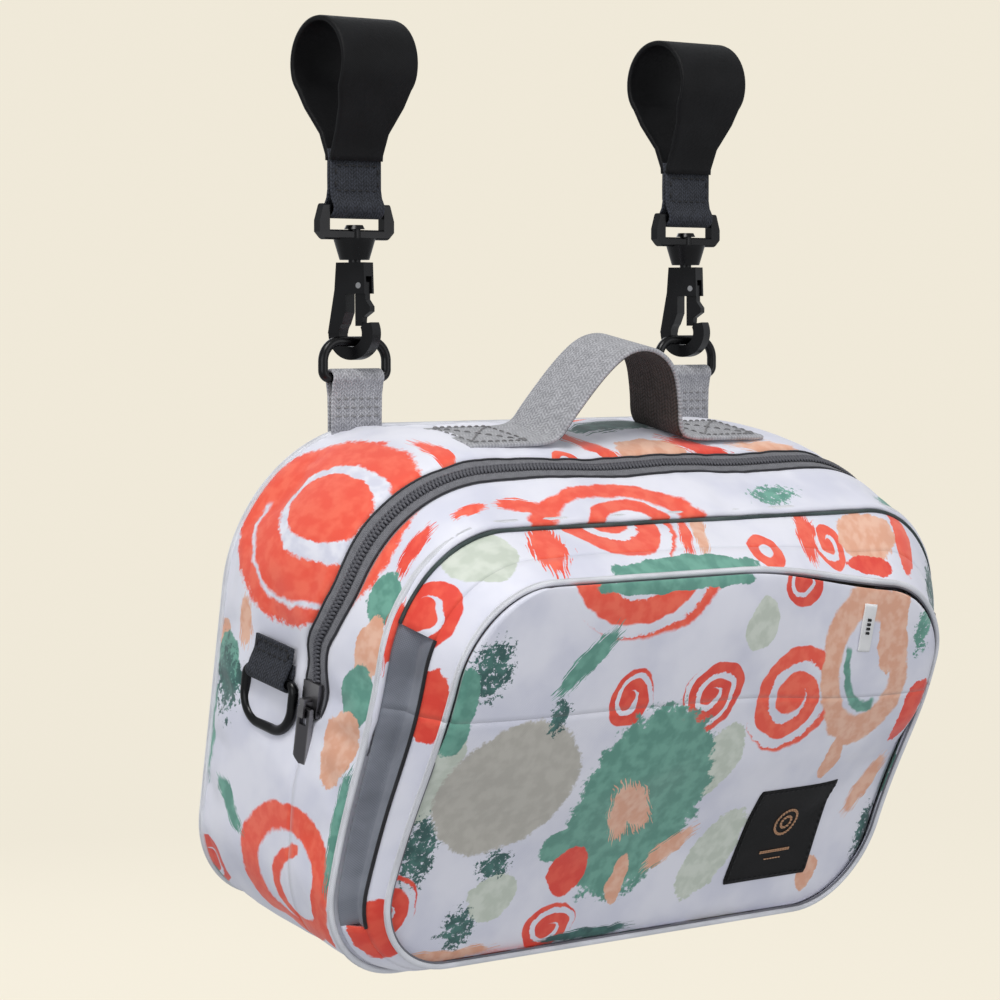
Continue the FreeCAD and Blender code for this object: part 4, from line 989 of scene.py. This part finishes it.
def patch(name, middle, half_wide, half_tall, material, slot, body, *nodes):
    """A soft-cornered patch that follows the panel's crown."""
    x, y = np.linspace(-1, 1, 25), np.linspace(1, -1, 23)[:, None]
    corner = np.sqrt(np.clip(1 - np.clip((np.abs(y) - 0.94) / 0.06, 0, 1) ** 2, 0, 1)) * 0.03 + 0.97
    u = middle[0] + half_wide * x * corner
    w = np.broadcast_to(middle[1] + half_tall * y, u.shape)
    rise = np.where((np.abs(x) > 0.99) | (np.abs(y) > 0.99), 0.55, 0.9)
    piece = grid(name, on_panel(u, w, rise), np.stack([u, w], -1), flip=True)
    finish_piece(thicken(piece, 0.7), material, slot, *nodes, body=body)


def sewn_line(middle, right, up, rise=1.0):
    """A run of stitches on the panel through places given from the middle of a patch."""
    right, up = np.broadcast_arrays(right, up)
    return on_panel(middle[0] + right, middle[1] + up, rise), AHEAD


patch("label_patch_cloth", LABEL, 24, 22.5, label_cloth, "label", "bag", "label_patch")
border = [sewn_line(LABEL, np.linspace(x0, x1, 18), np.linspace(y0, y1, 18), 1.05)
          for (x0, y0), (x1, y1) in rectangle(-22.6, 22.6, -21.1, 21.1)]
finish_piece(stitches("label_stitches", border, 0.22, 2.0, 0.9), thread_black, "label", body="bag")
turn = np.linspace(0, 2 * math.pi, 40)
mark = [sewn_line(LABEL, radius * np.cos(turn), 5 + radius * np.sin(turn)) for radius in (6.2, 5.6, 3.0, 2.4)]
mark += [sewn_line(LABEL, np.linspace(-half, half, 12), level)
         for half, level in ((9, -8.5), (9, -9.2), (5, -12.5))]
finish_piece(stitches("label_mark", mark, 0.28, 1.4, 0.1), gold, "label", body="bag")
patch("side_tag_cloth", TAG, 4, 11, tag_cloth, "tag", "pocket", "side_tag")
bars = [sewn_line(TAG, x, np.linspace(5, -3, 8)) for x in (-0.8, 0, 0.8)]
finish_piece(stitches("side_tag_mark", bars, 0.3, 1.5, 0.2), thread_black, "tag", body="pocket")

# ---- straps, tabs and the handle -----------------------------------------------------------------

def rounded_path(corners, times=4):
    """Corners cut again and again, which ends in a smooth curve through the first and last."""
    path = np.asarray(corners, float)
    for _ in range(times):
        near_start = path[:-1] * 0.75 + path[1:] * 0.25
        near_end = path[:-1] * 0.25 + path[1:] * 0.75
        inside = np.stack([near_start, near_end], 1).reshape(-1, path.shape[1])
        path = np.concatenate([path[:1], inside, path[-1:]])
    return path


def arc(centre, radius, start, stop, count=24):
    turn = np.radians(np.linspace(start, stop, count))
    return [(centre[0] + radius * math.cos(a), centre[1] + radius * math.sin(a)) for a in turn]


def lay(path, make):
    return np.array([make(*point) for point in path])


HANDLE_DEPTH = -42
PATCH_TOP = 4.8
arch_path = rounded_path([(-79, PATCH_TOP), (-60, PATCH_TOP + 0.3), (-41, PATCH_TOP + 0.2),
                          (-33.5, PATCH_TOP + 2.2), (-28.5, PATCH_TOP + 10), (-13, 34), (-1, 43), (13, 43),
                          (24.5, 35), (29.5, 20), (31.5, PATCH_TOP + 4), (38, PATCH_TOP + 0.4),
                          (60, PATCH_TOP + 0.3), (79, PATCH_TOP)])


def across_top(u, w):
    return u, HANDLE_DEPTH, w


handle = webbing("carry_handle_web", lay(arch_path, across_top), (0, 1, 0), WEB, 2.0)
finish_piece(handle, grey_web, "grey_webbing", "carry_handle", "handle_end_left", "handle_end_right")
# a dark strip laid just inside the arch's rising part: painted shade on the handle's inner face
rising = arch_path[arch_path[:, 1] > PATCH_TOP + 2.5]
uphill = unit(np.gradient(rising, axis=0))
under_arch = rising + np.stack([uphill[:, 1], -uphill[:, 0]], 1) * 1.25
inner = webbing("handle_underside_painted_shade", lay(under_arch, across_top), (0, 1, 0), WEB - 1.2, 0.9)
finish_piece(inner, arch_shade_web, "grey_webbing")
for piece in (handle, inner):
    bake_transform(piece)
seam = WEB / 2 - 2
runs = []
for side in SIDES.values():
    near_u, far_u = side * 48, side * 76
    crossing = [((far_u, -10), (near_u, 10)), ((far_u, 10), (near_u, -10))]
    runs += [([(u, HANDLE_DEPTH + v, PATCH_TOP + 1.5) for u, v in pair], (0, 0, 1))
             for pair in rectangle(near_u, far_u, -seam, seam) + crossing]
finish_piece(stitches("handle_stitches", runs), thread_grey, "grey_webbing", body="bag")


def strap_tab(side_name, spot):
    """The bag's grey tab: a doubled webbing folded over the D-ring."""
    path = ([(1.1, -149), (1.1, -140), (1.3, -132)] + arc((0, -125), 2.95, -40, 220, 22)
            + [(-1.3, -132), (-1.1, -140), (-1.1, -149)])
    strap = webbing(f"tab_{side_name}_web", lay(path, spot), (1, 0, 0), WEB, 1.4)
    finish_piece(strap, grey_web, "grey_webbing", f"tab_{side_name}", body="bag")
    rows = [([spot(face, level, x) for x in (-11.3, 11.3)], (0, face, 0))
            for level in (-133.5, -137, -140.5) for face in (-1.95, 1.95)]
    finish_piece(stitches(f"tab_{side_name}_stitches", rows), thread_grey, "grey_webbing", body="bag")


def strap_loop(side_name, spot):
    """A padded cuff round the handlebar, and the webbing that carries the swivel ring."""
    path = np.array([(1.5, -38.5), (1.7, -36), (5.2, -27.5), (11.5, -17.2)] + arc((0, 0), 17.25, -37, 217, 48)
                    + [(-11.5, -17.2), (-5.2, -27.5), (-1.7, -36), (-1.5, -38.5)])
    width = 37 - 11.5 * smooth(-path[:, 1], 5, 31)
    cuff = webbing(f"loop_{side_name}_cuff", lay(path, spot), (1, 0, 0), width, 2.3, edge=0.3)
    finish_piece(cuff, cuff_cloth, "black_webbing", f"loop_{side_name}", body="stroller_loops")
    path = ([(0.9, -34), (0.9, -50), (1.6, -53.5)] + arc((0, -57.5), 3.4, 35, -215, 24)
            + [(-1.6, -53.5), (-0.9, -50), (-0.9, -34)])
    web = webbing(f"loop_{side_name}_web", lay(path, spot), (1, 0, 0), WEB, 1.5)
    finish_piece(web, dark_web, "dark_webbing", f"loop_{side_name}", body="stroller_loops")
    path = [(2.35, -38.6), (2.45, -44), (2.35, -50)]
    hook_tape = webbing(f"loop_fastener_{side_name}_patch", lay(path, spot), (1, 0, 0), 23, 1.2)
    finish_piece(hook_tape, fuzzy, "hook_and_loop", f"loop_fastener_{side_name}", body="stroller_loops")
    rows = [([spot(face, z, x) for x, z in pair], (0, face, 0))
            for face in (-1.75, 1.75) for pair in rectangle(-10.5, 10.5, -50.5, -40.5)]
    sewn = stitches(f"loop_{side_name}_stitches", rows)
    finish_piece(sewn, thread_black, "dark_webbing", body="stroller_loops")


def side_tab(side_name, side):
    """The short tab that holds a side D-ring against the wall."""
    ring_u, ring_w = 148.8, -88
    rows = np.arange(LOOP)[(REAR_LOOP[:, 0] * side > 0) & (REAR_LOOP[:, 1] < -66) & (REAR_LOOP[:, 1] > -84)]
    cloth_u = max(np.abs(shell_point(rows, np.full(len(rows), v))[:, 0]).max() for v in (-52, TAB_DEPTH, -30))
    wall_u = max(cloth_u + 0.7, 145.9)
    path = rounded_path([(wall_u, -74), (wall_u, -77), (wall_u + 0.2, -80), (ring_u + 1.5, -84)], 2)
    path = np.concatenate([path, arc((ring_u, ring_w), 2.95, 50, -130, 16),
                           [(wall_u - 0.8, -86.5), (wall_u - 1.3, -81)]])
    path = lay(path, lambda u, w: (side * u, TAB_DEPTH, w))
    web = webbing(f"side_tab_{side_name}_web", path, (0, 1, 0), WEB, 1.3)
    finish_piece(web, dark_web, "dark_webbing", f"side_tab_{side_name}", body="bag")
    rows = [([(side * (wall_u + 0.9), TAB_DEPTH + v, w) for v, w in pair], (side, 0, 0))
            for pair in rectangle(-10.5, 10.5, -79.5, -75.5)]
    finish_piece(stitches(f"side_tab_{side_name}_stitches", rows), thread_black, "dark_webbing", body="bag")


for side_name, side in SIDES.items():
    def spot(y, z, x=0, side=side):
        return bag_frame(side * STRAP + x, y, z)

    strap_tab(side_name, spot)
    strap_loop(side_name, spot)
    side_tab(side_name, side)

# ---- inside -------------------------------------------------------------------------------------

def lining_strip(name, indexes, start, stop, count, closed=False, *nodes):
    """A strip of lining inside the wall; its edges' depths may differ round the loop."""
    part = np.linspace(0, 1, count)[:, None]
    depth = start * (1 - part) + stop * part * np.ones(len(indexes))
    points = shell_point(np.broadcast_to(indexes, depth.shape), depth, np.full(depth.shape, -LINING_INSET))
    chart = np.stack([np.broadcast_to(SHELL_RUN[indexes], depth.shape), depth], -1)
    piece = thicken(grid(name, points, chart, closed=closed, flip=True), LINING_SKIN)
    return finish_piece(piece, lining_cloth, "lining_fabric", *nodes)


LINING_INSET = 4.0
LINING_SKIN = 0.8
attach(lining_strip("lining_rear", around, -LINING_INSET, rear_edge + 1.5, 14, True, "lining_body"), "bag")
low_rows = np.arange(COLUMNS + zip_row + 1, LOOP - zip_row)
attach(lining_strip("lining_low", low_rows, ZIP + 1.6, FRONT + 4.0, 10), "bag")
over_fold(lining_strip("lining_lid_cloth", arch, front_edge[arch] - 1.5, FRONT + 3.6, 8, False, "lining_lid"))
inner_back = dict(half=141, top=-4, low=-189, top_radius=58, low_radius=33)
back_lining = flat_panel("lining_back", inner_back, -3.6, -0.6, 0.3, LINING_SKIN, flip=True)
finish_piece(back_lining, lining_cloth, "lining_fabric", body="bag")
inner_front = dict(half=141, top=-19, low=-192, top_radius=44, low_radius=33)
front_lining = flat_panel("lining_front", inner_front, FRONT + 3.2, 0.3, 0.2, LINING_SKIN)
over_fold(finish_piece(front_lining, lining_cloth, "lining_fabric"))
board_path = rounded_path([(-107, -50, -187.2), (0, -50, -187.4), (107, -50, -187.2)], 3)
board = webbing("base_board_cover", board_path, (0, 1, 0), 82, 2.4)
finish_piece(board, board_cloth, "board", "base_board", body="bag")

SLIP_HALF = 95.5
x, y = np.linspace(-1, 1, 61)[None], np.linspace(1, 0, 31)[:, None]
u, w = np.broadcast_arrays(SLIP_HALF * x, -177.5 + 84 * y)
gather = (1 - np.abs(x) ** 6) * np.minimum(1, 5 * y + 0.15)
v = -5.4 - gather * (5.2 + 0.6 * waves(u, w, 24, 21) + 0.5 * y * np.sin(u * 0.75))
slip = thicken(grid("inner_pocket_cloth", np.stack([u, v, w], -1), np.stack([u, w], -1), flip=True), 0.7)
finish_piece(slip, lining_cloth, "lining_fabric", "inner_pocket", body="bag")
hem_u = np.linspace(-SLIP_HALF, SLIP_HALF, 200)
hem_v = -5.6 - (1 - np.abs(hem_u / SLIP_HALF) ** 6) * (6.4 + 0.5 * np.sin(hem_u * 0.75))
hem = webbing("inner_pocket_hem", np.stack([hem_u, hem_v, np.full(200, -95.5)], 1), (0, 0, 1), 7.5, 1.5)
finish_piece(hem, elastic_web, "elastic", "inner_pocket_elastic", body="bag")

# ---- hardware: the CAD solids, with softened edges and their own finishes -------------------------

def hardware(node, material, width=0.45):
    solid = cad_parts[node]
    solid.data.materials.clear()
    solid.data.materials.append(material)
    bevel = solid.modifiers.new("Softened", "BEVEL")
    bevel.width = width * MM
    bevel.segments = 3
    bevel.limit_method = "ANGLE"
    bevel.angle_limit = math.radians(35)
    bevel.harden_normals = True


for side_name in SIDES:
    for part in ("swivel_ring", "gate", "back_dring", "side_dring"):
        hardware(f"{part}_{side_name}", black_plastic)
    hardware(f"hook_{side_name}", black_plastic, 0.4)
    hardware(f"gate_pin_{side_name}", pin_steel, 0.2)
hardware("zipper_slider", gunmetal)
hardware("zipper_pull", gunmetal, 0.5)

# ---- stage, light and camera ---------------------------------------------------------------------

CREAM = srgb(242, 235, 218)


def stage():
    """A plain floor that rises all round into a pale wall."""
    turn = np.linspace(0, 2 * math.pi, 64, endpoint=False)
    profile = [(0.4, 0), (1.0, 0), (1.7, 0), (2.6, 0)] + arc((2.6, 1.2), 1.2, -90, 0, 12)[1:] + [(3.8, 4.5)]
    low = cad_box[0].z - 0.35
    points = [(r * math.cos(t), r * math.sin(t), low + h) for r, h in profile for t in turn]
    mesh = bpy.data.meshes.new("stage_floor")
    mesh.from_pydata(points, [], grid_faces(len(profile), 64, closed=True, flip=True) + [list(range(64))])
    mesh.shade_smooth()
    mesh.update()
    floor = bpy.data.objects.new("stage_floor", mesh)
    floor.visible_diffuse = floor.visible_glossy = False
    bpy.context.scene.collection.objects.link(floor)
    paint = bpy.data.materials.new("stage_paint")
    paint.use_nodes = True
    shader = paint.node_tree.nodes["Principled BSDF"]
    shader.inputs["Base Color"].default_value = srgb(110, 107, 100)
    shader.inputs["Roughness"].default_value = 1.0
    shader.inputs["Specular IOR Level"].default_value = 0.0
    shader.inputs["Emission Color"].default_value = CREAM
    shader.inputs["Emission Strength"].default_value = 0.88
    mesh.materials.append(paint)


def lamp(name, place_at, aim, size, power, colour=(1, 1, 1)):
    light = bpy.data.lights.new(name, "AREA")
    light.shape = "DISK"
    light.size = size
    light.energy = power
    light.color = colour
    item = bpy.data.objects.new(name, light)
    item.location = place_at
    item.rotation_mode = "QUATERNION"
    item.rotation_quaternion = (Vector(aim) - Vector(place_at)).to_track_quat("-Z", "Y")
    bpy.context.scene.collection.objects.link(item)


stage()
middle = (cad_box[0] + cad_box[1]) / 2
lamp("key", middle + Vector((-0.9, -0.7, 1.9)), middle, 1.0, 26, (1, 0.99, 0.97))
lamp("fill", middle + Vector((-1.9, -0.9, 0.2)), middle, 1.5, 9, (0.94, 0.96, 1))
lamp("front", middle + Vector((0.8, -1.9, 0.4)), middle, 1.6, 8, (0.97, 0.97, 1))
lamp("back", middle + Vector((0.6, 1.9, 0.7)), middle, 1.4, 9, (0.97, 0.98, 1))
world = bpy.data.worlds.new("studio")
world.use_nodes = True
world.node_tree.nodes["Background"].inputs["Color"].default_value = (0.9, 0.92, 0.95, 1)
world.node_tree.nodes["Background"].inputs["Strength"].default_value = 0.5
bpy.context.scene.world = world
bpy.context.scene.view_settings.view_transform = "Standard"

CAMERA_PLACE = Vector((-0.8493, -1.0179, -0.1033))
CAMERA_TURN, CAMERA_DIP = math.radians(39.35), math.radians(3.2)
camera = bpy.data.cameras.new("camera")
camera.lens = 113.8
camera.sensor_width = 36
camera.clip_start = 0.05
viewer = bpy.data.objects.new("camera", camera)
viewer.location = CAMERA_PLACE
viewer.rotation_mode = "QUATERNION"
looking = Vector((math.sin(CAMERA_TURN) * math.cos(CAMERA_DIP), math.cos(CAMERA_TURN) * math.cos(CAMERA_DIP),
                  -math.sin(CAMERA_DIP)))
viewer.rotation_quaternion = looking.to_track_quat("-Z", "Y")
bpy.context.scene.collection.objects.link(viewer)
bpy.context.scene.camera = viewer
